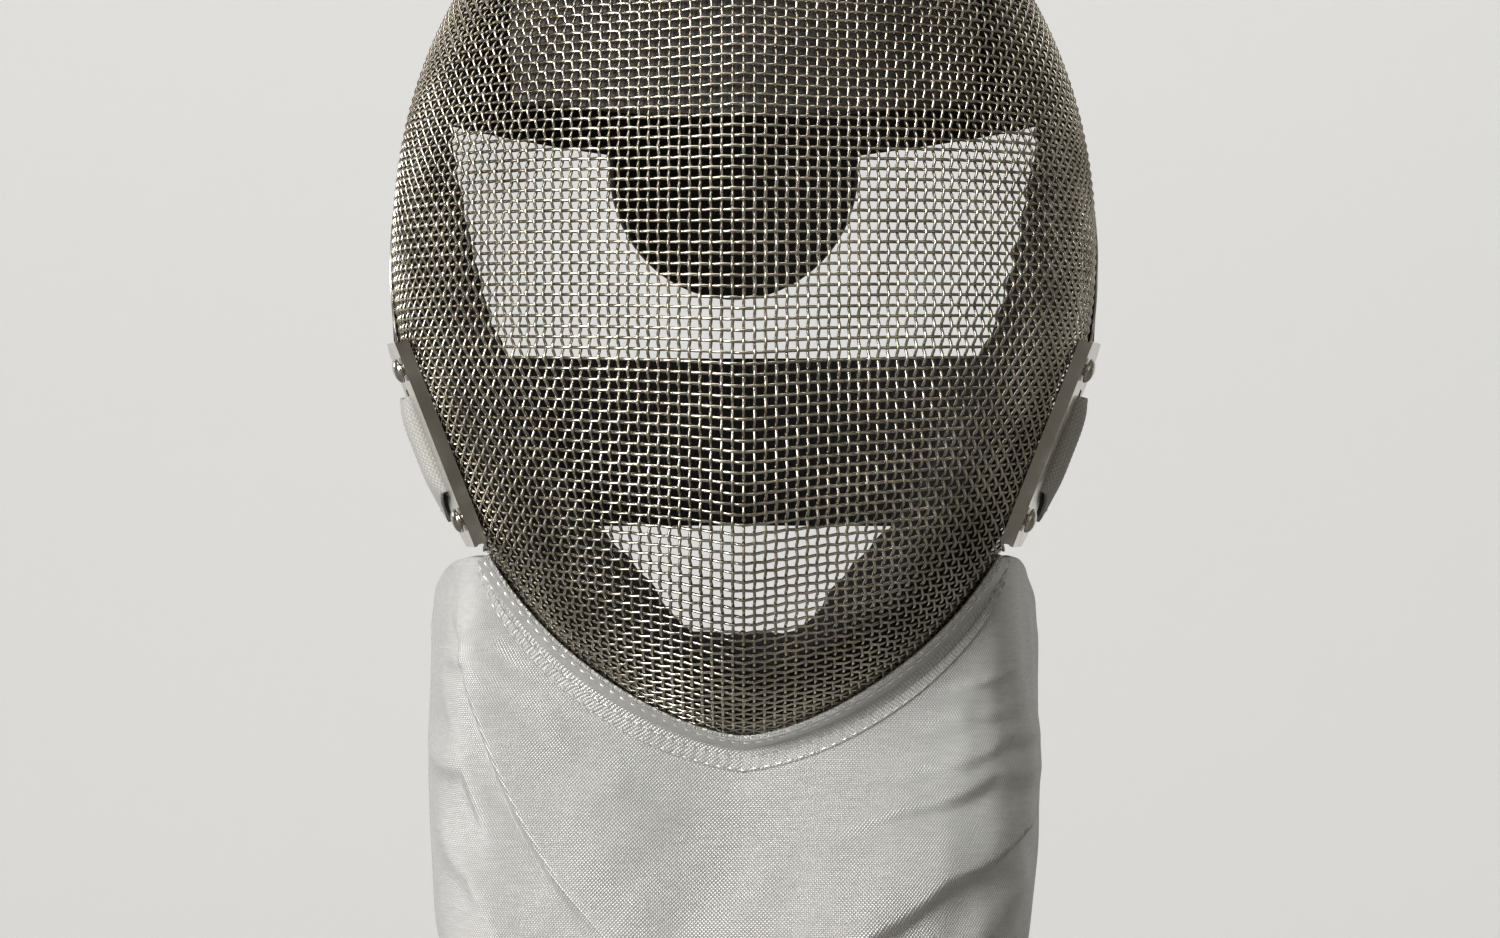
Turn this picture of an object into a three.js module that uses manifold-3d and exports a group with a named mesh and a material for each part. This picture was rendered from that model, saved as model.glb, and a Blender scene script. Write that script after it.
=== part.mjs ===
// Fencing mask: a domed face of woven wire with a padded lining, a rear tongue and strap, riveted
// side brackets and a hanging throat bib. Millimetres, +Z up, and the wearer looks along -Y.
// The origin is the seat of the crown pad, where the top of the head rests.
import * as THREE from "three";
import { mergeVertices } from "three/addons/utils/BufferGeometryUtils.js";
import Module from "manifold-3d";

// The dome. Each level is an ellipse about the upright line through the origin.
const halfWidth = 109;
const widestZ = -120.5;
const widestToCrown = 134;
const widestToChin = 153;
const foreDepth = 105.5;
const foremostZ = -150;
const foremostToCrown = 163.5;
const foremostToChin = 127;
const cheekHollow = 3.5;
const cheekZ = -185;
const cheekSpread = 25;
const centreZ = -135;
const wireWall = 2;

// The soft upright ridge down the middle of the face.
const keelHeight = 4.5;
const keelSpread = 22;
const keelRadius = 4;
const keelChinGain = 0.6;

// The back edge of the wire, seen from the side.
const edgeLine = [
  { z: 10, y: 66 },
  { z: -14, y: 61 },
  { z: -40, y: 47 },
  { z: -70, y: 30 },
  { z: -120, y: 11 },
  { z: -146, y: 2 },
  { z: -160, y: -17 },
  { z: -185, y: -27 },
  { z: -214, y: -31 },
  { z: -240, y: -33 },
  { z: -262, y: -33 },
  { z: -280, y: -25 },
];

const edgeStrip = 8.5;
const gap = 0.4;
const turnStep = 5;

// Metal edging and the piping behind it, from bracket to bracket over the crown.
const edgingTurn = 100;
const edgingReach = 5.5;
const edgingWall = 0.9;
const pipingRadius = 2.3;
const pipingRise = 0.9;

// Padded ring inside the edge: how far it stands in at each turn from the crown.
const padTurn = 35;
const padSlack = 0.6;
const padSetBack = 1;
const padThinnest = 2.5;
const padReach = [
  { turn: 35, reach: 11, run: 48 },
  { turn: 45, reach: 12, run: 66 },
  { turn: 61, reach: 11.5, run: 60 },
  { turn: 73, reach: 19.5, run: 42 },
  { turn: 92, reach: 27, run: 27 },
  { turn: 106, reach: 28.5, run: 25 },
  { turn: 125, reach: 30, run: 27 },
  { turn: 147, reach: 32, run: 29 },
  { turn: 168, reach: 28.5, run: 29 },
  { turn: 180, reach: 32.5, run: 29 },
];
// Its section from the edge forwards: share of the run and of the reach.
const padSection = [
  { run: 0, reach: 0.72 },
  { run: 0.14, reach: 0.94 },
  { run: 0.32, reach: 1 },
  { run: 0.55, reach: 0.88 },
  { run: 0.8, reach: 0.6 },
  { run: 1, reach: 0.3 },
];

// Felt pad, from the brow up over the crown.
const browTilt = 26.5;
const browRise = 12;
const padBackTilt = 101;
const browHalfSpread = 39;
const crownHalfSpread = 31;
const padGap = 1.7;
const crownZ = widestZ + widestToCrown;

// Rear yoke and tongue, on the dome's own line behind the edge.
const tongueInset = 1.9;
const tongueWall = 5;
const tongueDrop = 3;
const tongueHalf = 42;
const tongueTipZ = -134;
const tongueShift = -3.5;
const yokeInnerZ = -86;
const yokeOuterZ = -80;
const yokeHalf = 98;

// Elastic band round the back of the head.
const strapHalf = 96;
const strapTurn = 9;
const strapFrontY = 14;
const strapBackY = 112;
const strapMidZ = -181.5;
const strapEndZ = -189;
const strapHeight = 56;
const strapEndHeight = 28;
const strapWall = 2.2;

// Side brackets: the line of the front flange on one side, mirrored for the other.
const flangeTop = { x: 100.5, z: -149.5 };
const flangeFoot = { x: 75.5, z: -212 };
const plateWidth = 24;
const plateWall = 1.2;
const plateStandOff = 5.6;
const plateCorner = 4;
const slotLength = 36;
const slotWidth = 4.6;
const slotBack = 5.2;
const flangeLift = 1.2;
const loopWidth = 32;
const loopTail = 19;
const rivetRadius = 3.9;
const rivetDome = 2.1;
const shankRadius = 1.8;
const rivetEnd = 9;
const rivetSet = 8;

// Binding over the lower edge, and the bib that hangs from it.
const bindingTurn = 136.5;
const bindingReach = 7.5;
const bindingWall = 1.6;
const bibWall = 2.2;
const bibStart = 3.7;
const bibTopTurn = 136;
const bibShift = -3.2;
const bibStations = [
  { share: 0, out: 20, back: 0, down: 22, hang: 44, hemX: 0, hemY: -51, hemZ: -394 },
  { share: 0.2, out: 22, back: 0, down: 20, hang: 46, hemX: 38, hemY: -47, hemZ: -390 },
  { share: 0.4, out: 26, back: 0, down: 15, hang: 50, hemX: 68, hemY: -33, hemZ: -376 },
  { share: 0.6, out: 30, back: 0, down: 8, hang: 54, hemX: 87, hemY: -12, hemZ: -350 },
  { share: 0.8, out: 26, back: 6, down: 2, hang: 54, hemX: 95, hemY: 16, hemZ: -312 },
  { share: 1, out: 9, back: 22, down: -10, hang: 16, hemX: 96.5, hemY: 42, hemZ: -246 },
];

// Folds of the bib. Across runs from -1 to 1 along the edge, drop from 0 at the edge to 1 at the hem.
const bibFolds = [
  { fromAcross: -0.66, fromDrop: 0.3, toAcross: -0.24, toDrop: 1.05, height: 3.4, spread: 0.07 },
  { fromAcross: -0.5, fromDrop: 0.75, toAcross: -0.3, toDrop: 1.1, height: -2, spread: 0.06 },
  { fromAcross: 0.66, fromDrop: 0.6, toAcross: 0.26, toDrop: 1.1, height: 3.2, spread: 0.07 },
  { fromAcross: 0.6, fromDrop: 0.25, toAcross: 0.3, toDrop: 0.5, height: 1.8, spread: 0.06 },
  { fromAcross: 0.1, fromDrop: 0.1, toAcross: 0.02, toDrop: 0.9, height: 1.6, spread: 0.12 },
];

const degree = Math.PI / 180;
const domeMiddle = new THREE.Vector3(0, 0, centreZ);

// A column of a table at a place between its rows, on a smooth curve through them.
function fromTable(rows, key, at, column) {
  const falls = rows[0][key] > rows[1][key] ? -1 : 1;
  let low = 0;
  while (low < rows.length - 2 && (at - rows[low + 1][key]) * falls > 0) {
    low += 1;
  }
  const slope = (i) => {
    const before = rows[Math.max(0, i - 1)];
    const after = rows[Math.min(rows.length - 1, i + 1)];
    return (after[column] - before[column]) / (after[key] - before[key]);
  };
  const span = rows[low + 1][key] - rows[low][key];
  const t = THREE.MathUtils.clamp((at - rows[low][key]) / span, 0, 1);
  const ends = rows[low][column] * (1 - t) * (1 - t) * (1 + 2 * t) + rows[low + 1][column] * t * t * (3 - 2 * t);
  return ends + span * t * (1 - t) * (slope(low) * (1 - t) - slope(low + 1) * t);
}

// The same for rows evenly spaced from the middle of the bib, which is mirrored there.
function smoothTable(rows, share, column) {
  const steps = rows.length - 1;
  const low = Math.min(Math.floor(share * steps), steps - 1);
  const t = share * steps - low;
  const at = (i) => rows[THREE.MathUtils.clamp(i, 0, steps)][column];
  const mirrored = low === 0 ? (column === "hemX" ? -at(1) : at(1)) : at(low - 1);
  const p = [mirrored, at(low), at(low + 1), at(low + 2)];
  const a = 2 * p[1];
  const b = p[2] - p[0];
  const c = 2 * p[0] - 5 * p[1] + 4 * p[2] - p[3];
  const d = 3 * p[1] - p[0] - 3 * p[2] + p[3];
  return 0.5 * (a + b * t + c * t * t + d * t * t * t);
}

function roundShare(rise, above, below) {
  const share = rise > 0 ? rise / above : -rise / below;
  return Math.sqrt(Math.max(0, 1 - share * share));
}

function halfWidthAt(z) {
  const hollow = cheekHollow * Math.exp(-(((z - cheekZ) / cheekSpread) ** 2));
  return halfWidth * roundShare(z - widestZ, widestToCrown, widestToChin) - hollow;
}

function depthShareAt(z) {
  return roundShare(z - foremostZ, foremostToCrown, foremostToChin);
}

function keelAt(x, z) {
  const below = THREE.MathUtils.clamp((foremostZ - z) / foremostToChin, 0, 1);
  const height = keelHeight * depthShareAt(z) * (1 + keelChinGain * below);
  const away = Math.hypot(x, keelRadius) - keelRadius;
  return height * Math.exp(-away / keelSpread);
}

function insideDome(p) {
  const width = halfWidthAt(p.z);
  if (Math.abs(p.x) >= width) {
    return false;
  }
  const depth = foreDepth * depthShareAt(p.z) * Math.sqrt(1 - (p.x / width) ** 2);
  return p.y > 0 ? p.y < depth : -p.y < depth + keelAt(p.x, p.z);
}

// Where a ray from the middle of the dome meets it.
function domePoint(aim) {
  let near = 20;
  let far = 200;
  const p = new THREE.Vector3();
  for (let i = 0; i < 44; i += 1) {
    const middle = (near + far) / 2;
    p.copy(domeMiddle).addScaledVector(aim, middle);
    if (insideDome(p)) {
      near = middle;
    } else {
      far = middle;
    }
  }
  return p;
}

// The dome's point and outward normal along a ray.
function domeAt(aim) {
  const side = new THREE.Vector3(0.3, 0.5, 0.8).cross(aim).normalize().multiplyScalar(0.004);
  const up = new THREE.Vector3().copy(aim).cross(side);
  const point = domePoint(aim);
  const a = domePoint(aim.clone().add(side).normalize());
  const b = domePoint(aim.clone().sub(side).normalize());
  const c = domePoint(aim.clone().add(up).normalize());
  const d = domePoint(aim.clone().sub(up).normalize());
  const normal = a.sub(b).cross(c.sub(d)).normalize();
  if (normal.dot(aim) < 0) {
    normal.negate();
  }
  return { point, normal };
}

function domeOffset(aim, rise) {
  const { point, normal } = domeAt(aim);
  return point.addScaledVector(normal, rise);
}

// A ray by its turn from the crown, seen from the front, and its lean away from straight ahead.
function aimAt(turn, lean) {
  const t = turn * degree;
  return new THREE.Vector3(Math.sin(lean) * Math.sin(t), -Math.cos(lean), Math.sin(lean) * Math.cos(t));
}

// Lean at which the wire ends at a turn.
function edgeLean(turn) {
  let near = 20 * degree;
  let far = 170 * degree;
  for (let i = 0; i < 40; i += 1) {
    const middle = (near + far) / 2;
    const p = domePoint(aimAt(turn, middle));
    if (p.y < fromTable(edgeLine, "z", p.z, "y")) {
      near = middle;
    } else {
      far = middle;
    }
  }
  return near;
}

// A point by its run past the edge along the dome and its rise above it.
function edgePoint(turn, run, rise) {
  const lean = edgeLean(turn);
  const step = 0.01;
  const stretch = domePoint(aimAt(turn, lean + step)).distanceTo(domePoint(aimAt(turn, lean - step)));
  return domeOffset(aimAt(turn, lean + (run * 2 * step) / stretch), rise);
}

// Geometry from vertices and triangles, turned to face outwards.
function closedGeometry(points, triangles) {
  let volume = 0;
  for (const [a, b, c] of triangles) {
    volume += points[a].dot(points[b].clone().cross(points[c]));
  }
  const index = triangles.flatMap(([a, b, c]) => (volume > 0 ? [a, b, c] : [a, c, b]));
  const geometry = new THREE.BufferGeometry().setFromPoints(points);
  geometry.setIndex(index);
  geometry.computeVertexNormals();
  return geometry;
}

function quad(list, a, b, c, d) {
  list.push([a, b, c], [a, c, d]);
}

// A wall between two grids of points with the same rows and columns.
function wallBetween(outer, inner) {
  const rows = outer.length;
  const columns = outer[0].length;
  const points = [...outer.flat(), ...inner.flat()];
  const back = rows * columns;
  const triangles = [];
  const at = (i, j) => i * columns + j;
  for (let i = 0; i < rows - 1; i += 1) {
    for (let j = 0; j < columns - 1; j += 1) {
      quad(triangles, at(i, j), at(i, j + 1), at(i + 1, j + 1), at(i + 1, j));
      quad(triangles, back + at(i, j), back + at(i + 1, j), back + at(i + 1, j + 1), back + at(i, j + 1));
    }
  }
  const border = [];
  for (let j = 0; j < columns - 1; j += 1) border.push(at(0, j));
  for (let i = 0; i < rows - 1; i += 1) border.push(at(i, columns - 1));
  for (let j = columns - 1; j > 0; j -= 1) border.push(at(rows - 1, j));
  for (let i = rows - 1; i > 0; i -= 1) border.push(at(i, 0));
  border.forEach((a, k) => {
    const b = border[(k + 1) % border.length];
    quad(triangles, b, a, back + a, back + b);
  });
  return closedGeometry(points, triangles);
}

// A closed section carried along a row of places, with its ends capped.
function sweep(sections, profile) {
  const size = profile.length;
  const points = sections.flat();
  const triangles = [];
  for (let i = 0; i < sections.length - 1; i += 1) {
    for (let k = 0; k < size; k += 1) {
      const next = (k + 1) % size;
      quad(triangles, i * size + k, i * size + next, (i + 1) * size + next, (i + 1) * size + k);
    }
  }
  const caps = THREE.ShapeUtils.triangulateShape(profile, []);
  const last = (sections.length - 1) * size;
  const turnsLeft = THREE.ShapeUtils.isClockWise(profile) ? -1 : 1;
  for (const [a, b, c] of caps) {
    triangles.push(turnsLeft > 0 ? [a, c, b] : [a, b, c]);
    triangles.push(turnsLeft > 0 ? [last + a, last + b, last + c] : [last + a, last + c, last + b]);
  }
  return closedGeometry(points, triangles);
}

function turnsBetween(from, to) {
  return spread(from, to, Math.round((to - from) / turnStep) + 1);
}

function spread(from, to, count) {
  return Array.from({ length: count }, (_, i) => from + ((to - from) * i) / (count - 1));
}

// A section given as run and rise, carried along the edge.
function alongEdge(turns, profile) {
  const sections = turns.map((turn) => profile.map((p) => edgePoint(turn, p.x, p.y)));
  return sweep(sections, profile);
}

function material(color, roughness, metalness) {
  return new THREE.MeshStandardMaterial({ color, roughness, metalness });
}

function piece(name, geometry, look) {
  const mesh = new THREE.Mesh(geometry, look);
  mesh.name = name;
  return mesh;
}

// The wire face as one wall, in rings from straight ahead out to the edge.
function wireFace() {
  const rings = 11;
  const columns = 360 / turnStep;
  const points = [];
  const triangles = [];
  const sides = [wireWall / 2, -wireWall / 2];
  for (const rise of sides) {
    points.push(domeOffset(aimAt(0, 0.0001), rise));
    for (let j = 1; j <= rings; j += 1) {
      for (let k = 0; k < columns; k += 1) {
        const turn = k * turnStep;
        const edge = edgeLean(turn);
        const held = edge - edgeStrip / domePoint(aimAt(turn, edge)).distanceTo(domeMiddle);
        const lean = j === rings ? edge : (held * j) / (rings - 1);
        points.push(domeOffset(aimAt(turn, lean), rise));
      }
    }
  }
  const back = 1 + rings * columns;
  const at = (j, k) => 1 + (j - 1) * columns + (k % columns);
  for (let k = 0; k < columns; k += 1) {
    triangles.push([0, at(1, k), at(1, k + 1)]);
    triangles.push([back, back + at(1, k + 1), back + at(1, k)]);
    for (let j = 1; j < rings; j += 1) {
      quad(triangles, at(j, k), at(j + 1, k), at(j + 1, k + 1), at(j, k + 1));
      quad(triangles, back + at(j, k), back + at(j, k + 1), back + at(j + 1, k + 1), back + at(j + 1, k));
    }
    const a = at(rings, k);
    const b = at(rings, k + 1);
    quad(triangles, a, back + a, back + b, b);
  }
  return closedGeometry(points, triangles);
}

// A channel folded over the edge: legs outside and inside, and a web past the edge.
function channelProfile(reach, wall) {
  const near = wireWall / 2 + gap;
  const far = near + wall;
  return [
    new THREE.Vector2(-reach, near),
    new THREE.Vector2(-reach, far),
    new THREE.Vector2(gap + wall, far),
    new THREE.Vector2(gap + wall, -far),
    new THREE.Vector2(-reach, -far),
    new THREE.Vector2(-reach, -near),
    new THREE.Vector2(gap, -near),
    new THREE.Vector2(gap, near),
  ];
}

function rimChannel() {
  return alongEdge(turnsBetween(-edgingTurn, edgingTurn), channelProfile(edgingReach, edgingWall));
}

function edgePiping() {
  const run = gap + edgingWall + gap + pipingRadius;
  const ring = spread(0, 360, 9)
    .slice(0, 8)
    .map((a) => {
      const x = run + pipingRadius * Math.cos(a * degree);
      return new THREE.Vector2(x, pipingRise + pipingRadius * Math.sin(a * degree));
    });
  return alongEdge(turnsBetween(-edgingTurn, edgingTurn), ring);
}

// Padded ring: flat against the wire, rounded on the inside.
function facePad() {
  const face = wireWall / 2 + gap + edgingWall + gap + padSlack;
  const thinnest = face + padThinnest;
  const shape = (reach, run) => [
    ...spread(0, 1, 5).map((share) => new THREE.Vector2(-padSetBack - share * run, -face)),
    ...padSection
      .toReversed()
      .map((row) => new THREE.Vector2(-padSetBack - row.run * run, -Math.max(thinnest, row.reach * reach))),
  ];
  const sections = turnsBetween(padTurn, 360 - padTurn).map((turn) => {
    const folded = turn > 180 ? 360 - turn : turn;
    const reach = fromTable(padReach, "turn", folded, "reach");
    const run = fromTable(padReach, "turn", folded, "run");
    return shape(reach, run).map((p) => edgePoint(turn, p.x, p.y));
  });
  return sweep(sections, shape(20, 25));
}

// Felt pad on a grid of tilt over the head and spread to the sides.
function foreheadPad() {
  const sides = spread(-1, 1, 15);
  const lengths = spread(0, 1, 13);
  const grid = (inner) =>
    lengths.map((along) =>
      sides.map((side) => {
        const low = browTilt + browRise * side * side;
        const tilt = (low + (padBackTilt - 6 * side * side - low) * along) * degree;
        const half = browHalfSpread + (crownHalfSpread - browHalfSpread) * along;
        const turn = side * half * degree;
        const aim = new THREE.Vector3(
          Math.sin(turn),
          -Math.cos(turn) * Math.cos(tilt),
          Math.cos(turn) * Math.sin(tilt),
        );
        const outline = Math.max(Math.abs(side), Math.abs(along * 2 - 1)) ** 6;
        const near = wireWall / 2 + padGap;
        const full = crownZ - near;
        return domeOffset(aim, inner ? -near - full * (1 - 0.7 * outline) : -near);
      }),
    );
  return wallBetween(grid(false), grid(true));
}

// Lower line of the yoke and tongue at a distance from the middle.
function tongueFoot(across) {
  if (across <= tongueHalf) {
    return tongueTipZ + tongueHalf - Math.sqrt(tongueHalf ** 2 - across ** 2);
  }
  const share = (across - tongueHalf) / (yokeHalf - tongueHalf);
  return yokeInnerZ + (yokeOuterZ - yokeInnerZ) * share;
}

// A point of the dome behind the edge, by its sideways place and height.
function rearPoint(x, z, rise) {
  const width = halfWidthAt(z);
  const y = foreDepth * depthShareAt(z) * Math.sqrt(Math.max(0.0004, 1 - (x / width) ** 2));
  return domeOffset(new THREE.Vector3(x, y, z - centreZ).normalize(), rise);
}

// Height at which the wire's edge passes a sideways place behind the crown.
function crownEdgeZ(x) {
  let low = -100;
  let high = crownZ;
  for (let i = 0; i < 40; i += 1) {
    const z = (low + high) / 2;
    const width = halfWidthAt(z);
    const share = Math.max(0, 1 - (x / Math.max(width, 1)) ** 2);
    const y = foreDepth * depthShareAt(z) * Math.sqrt(share);
    if (Math.abs(x) < width && y > fromTable(edgeLine, "z", z, "y")) {
      low = z;
    } else {
      high = z;
    }
  }
  return low;
}

function tongue() {
  const steps = [0, 10, 20, 28, 34, 38.5, 41, tongueHalf, tongueHalf + 0.6, 54, 68, 82, 91, yokeHalf];
  const places = [...steps.slice(1).map((x) => -x).reverse(), ...steps];
  const grid = (rise) =>
    spread(0, 1, 8).map((along) =>
      places.map((place) => {
        const foot = tongueFoot(Math.abs(place));
        const head = crownEdgeZ(place) - tongueDrop;
        const z = head + (foot - head) * along;
        const shift = tongueShift * THREE.MathUtils.smoothstep(along, 0.1, 0.6);
        const x = place + shift * (1 - THREE.MathUtils.smoothstep(Math.abs(place), 50, yokeHalf));
        return rearPoint(x, z, rise);
      }),
    );
  return wallBetween(grid(-tongueInset), grid(-tongueInset - tongueWall));
}

// Elastic band: upright strip along half an ellipse, narrower where it meets the loops.
function backStrap() {
  const profile = [
    new THREE.Vector2(0, 0),
    new THREE.Vector2(1, 0),
    new THREE.Vector2(1, 1),
    new THREE.Vector2(0, 1),
  ];
  const sections = spread(strapTurn, 180 - strapTurn, 35).map((angle) => {
    const a = angle * degree;
    const full = THREE.MathUtils.smoothstep(Math.sin(a), 0.02, 0.62);
    const height = strapEndHeight + (strapHeight - strapEndHeight) * full;
    const middle = strapEndZ + (strapMidZ - strapEndZ) * full;
    return profile.map((p) => {
      const grow = p.x * strapWall;
      const x = (strapHalf + grow) * Math.cos(a);
      const y = strapFrontY + (strapBackY - strapFrontY + grow) * Math.sin(a);
      return new THREE.Vector3(x, y, middle + height * (p.y - 0.5));
    });
  });
  const seat = (side) => profile.map((p) => strapSeat(side, p.x, p.y));
  return sweep([seat(1), ...sections, seat(-1)], profile);
}

// Corner of the band's end, where it meets the tail of a loop.
function strapSeat(side, outward, high) {
  const frame = bracketFrame(side);
  const along = frame.out.clone().cross(frame.across);
  const up = along.z > 0 ? 1 : -1;
  const bar = plateWidth - slotBack;
  const level = frame.slant * bar + up * strapEndHeight * (high - 0.5);
  return frame.middle
    .clone()
    .addScaledVector(frame.across, bar + loopTail + gap)
    .addScaledVector(along, level)
    .addScaledVector(frame.out, plateStandOff + plateWall / 2 + strapWall * (outward - 0.5));
}

// Place of the bracket on one side: across to the back, along its length and out from the dome.
function bracketFrame(side) {
  const spot = (end) => {
    const width = halfWidthAt(end.z);
    const y = -foreDepth * depthShareAt(end.z) * Math.sqrt(1 - (end.x / width) ** 2);
    return new THREE.Vector3(end.x, y, end.z);
  };
  const top = spot(flangeTop);
  const foot = spot(flangeFoot);
  const length = top.distanceTo(foot);
  const along = top.clone().sub(foot).normalize();
  const middle = top.clone().add(foot).multiplyScalar(0.5);
  const { normal } = domeAt(middle.clone().setY(middle.y + 22).sub(domeMiddle).normalize());
  const across = along.clone().cross(normal).normalize();
  if (across.y < 0) {
    across.negate();
  }
  const out = along.clone().cross(across).normalize();
  if (out.x < 0) {
    out.negate();
  }
  const slant = -across.z / along.z;
  const mirror = new THREE.Vector3(side, 1, 1);
  for (const v of [middle, across, out]) {
    v.multiply(mirror);
  }
  return { middle, across, out, length, slant: slant * side };
}

function placeIn(frame, group) {
  const along = frame.out.clone().cross(frame.across);
  const turn = new THREE.Matrix4().makeBasis(frame.across, along, frame.out);
  group.quaternion.setFromRotationMatrix(turn);
  group.position.copy(frame.middle);
  return group;
}

const wasm = await Module();
wasm.setup();

function toSolid(geometry) {
  const bare = geometry.index ? geometry.toNonIndexed() : geometry.clone();
  bare.deleteAttribute("normal");
  bare.deleteAttribute("uv");
  const merged = mergeVertices(bare, 1e-4);
  return new wasm.Manifold(
    new wasm.Mesh({
      numProp: 3,
      vertProperties: new Float32Array(merged.attributes.position.array),
      triVerts: new Uint32Array(merged.index.array),
    }),
  );
}

function fromSolid(solid) {
  const { vertProperties, triVerts } = solid.getMesh();
  const geometry = new THREE.BufferGeometry();
  geometry.setAttribute("position", new THREE.BufferAttribute(vertProperties, 3));
  geometry.setIndex([...triVerts]);
  geometry.computeVertexNormals();
  return geometry;
}

function roundedRectangle(x0, y0, x1, y1, corner) {
  const shape = new THREE.Shape();
  shape.moveTo(x0 + corner, y0);
  shape.lineTo(x1 - corner, y0);
  shape.absarc(x1 - corner, y0 + corner, corner, -Math.PI / 2, 0);
  shape.lineTo(x1, y1 - corner);
  shape.absarc(x1 - corner, y1 - corner, corner, 0, Math.PI / 2);
  shape.lineTo(x0 + corner, y1);
  shape.absarc(x0 + corner, y1 - corner, corner, Math.PI / 2, Math.PI);
  shape.lineTo(x0, y0 + corner);
  shape.absarc(x0 + corner, y0 + corner, corner, Math.PI, Math.PI * 1.5);
  return shape;
}

// Raised plate with its strap slot and rivet holes, and the flange that stands on the wire.
// Its ends are cut level, so that they climb by the slant for each step to the back.
function bracketPlate(length, slant) {
  const half = length / 2;
  const corners = [
    [0, -half],
    [plateWidth - plateCorner, -half],
    [plateWidth, -half + plateCorner],
    [plateWidth, half - plateCorner],
    [plateWidth - plateCorner, half],
    [0, half],
  ];
  const face = new THREE.Shape(corners.map(([x, y]) => new THREE.Vector2(x, y + slant * x)));
  const slotEdge = plateWidth - slotBack;
  const climb = slant * slotEdge;
  const ends = [climb - slotLength / 2, climb + slotLength / 2];
  face.holes.push(roundedRectangle(slotEdge - slotWidth, ends[0], slotEdge, ends[1], 1.4));
  for (const end of [-1, 1]) {
    const hole = new THREE.Path();
    hole.absarc(rivetSet, end * (half - rivetEnd) + slant * rivetSet, shankRadius + gap, 0, Math.PI * 2);
    face.holes.push(hole);
  }
  const plate = new THREE.ExtrudeGeometry(face, { depth: plateWall, bevelEnabled: false, curveSegments: 5 });
  plate.translate(0, 0, plateStandOff);
  const flangeStart = wireWall / 2 + gap + flangeLift;
  const flange = new THREE.BoxGeometry(plateWall, length - 1, plateStandOff - flangeStart + 0.4);
  flange.translate(plateWall / 2, 0, (plateStandOff + flangeStart + 0.4) / 2);
  return fromSolid(toSolid(plate).add(toSolid(flange)));
}

// Domed head on a short shank.
function rivet() {
  const outline = [new THREE.Vector2(0, -plateWall - 1.2), new THREE.Vector2(shankRadius, -plateWall - 1.2)];
  outline.push(new THREE.Vector2(shankRadius, gap), new THREE.Vector2(rivetRadius, gap));
  for (const angle of spread(20, 65, 3)) {
    const x = rivetRadius * Math.cos(angle * degree);
    outline.push(new THREE.Vector2(x, gap + 0.4 + rivetDome * Math.sin(angle * degree)));
  }
  outline.push(new THREE.Vector2(0, gap + 0.4 + rivetDome));
  return new THREE.LatheGeometry(outline, 10).rotateX(Math.PI / 2);
}

// Ribbed elastic doubled through the slot and round the plate's rear bar.
function strapLoop() {
  const bar = plateWidth - slotBack;
  const middle = plateStandOff + plateWall / 2;
  const outside = [
    [bar - 2, 0],
    [bar - 1.4, 2.4],
    [bar + 1, 4.2],
    [bar + 6, 4.4],
    [bar + 13, 3.2],
    [bar + loopTail, 1.7],
    [bar + loopTail, -1.7],
    [bar + 13, -2],
    [bar + 6, -2.3],
    [bar + 1, -2.3],
    [bar - 1.4, -1.7],
  ];
  const inside = [
    [bar - 0.6, 0],
    [bar - 0.3, 1.5],
    [bar + 1.4, 2.9],
    [bar + 6, 3.1],
    [bar + 12, 1.9],
    [bar + 16, 0.6],
    [bar + 16, -0.5],
    [bar + 12, -0.8],
    [bar + 6, -1],
    [bar + 0.6, -1],
    [bar - 0.3, -0.7],
  ];
  const trace = (rows) => rows.map(([x, y]) => new THREE.Vector2(x, middle + y)).reverse();
  const shape = new THREE.Shape(trace(outside));
  shape.holes.push(new THREE.Path(trace(inside)));
  const loop = new THREE.ExtrudeGeometry(shape, { depth: loopWidth, bevelEnabled: false, steps: 1 });
  loop.translate(0, 0, -loopWidth / 2);
  return loop.rotateX(Math.PI / 2);
}

function bibBinding() {
  const first = Math.ceil(bindingTurn / turnStep) * turnStep;
  const turns = [bindingTurn, ...turnsBetween(first, 360 - first), 360 - bindingTurn];
  return alongEdge(turns, channelProfile(bindingReach, bindingWall));
}

// Rise of the folds at a place on the bib.
function foldAt(across, drop) {
  let rise = 0;
  for (const fold of bibFolds) {
    const dx = fold.toAcross - fold.fromAcross;
    const dy = fold.toDrop - fold.fromDrop;
    const along = ((across - fold.fromAcross) * dx + (drop - fold.fromDrop) * dy) / (dx * dx + dy * dy);
    const clamped = THREE.MathUtils.clamp(along, 0, 1);
    const away = Math.hypot(across - fold.fromAcross - clamped * dx, drop - fold.fromDrop - clamped * dy);
    const end = THREE.MathUtils.smoothstep(along, -0.2, 0.4);
    rise += fold.height * end * Math.exp(-((away / fold.spread) ** 2));
  }
  return rise * THREE.MathUtils.smoothstep(drop, 0.02, 0.2);
}

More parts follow.
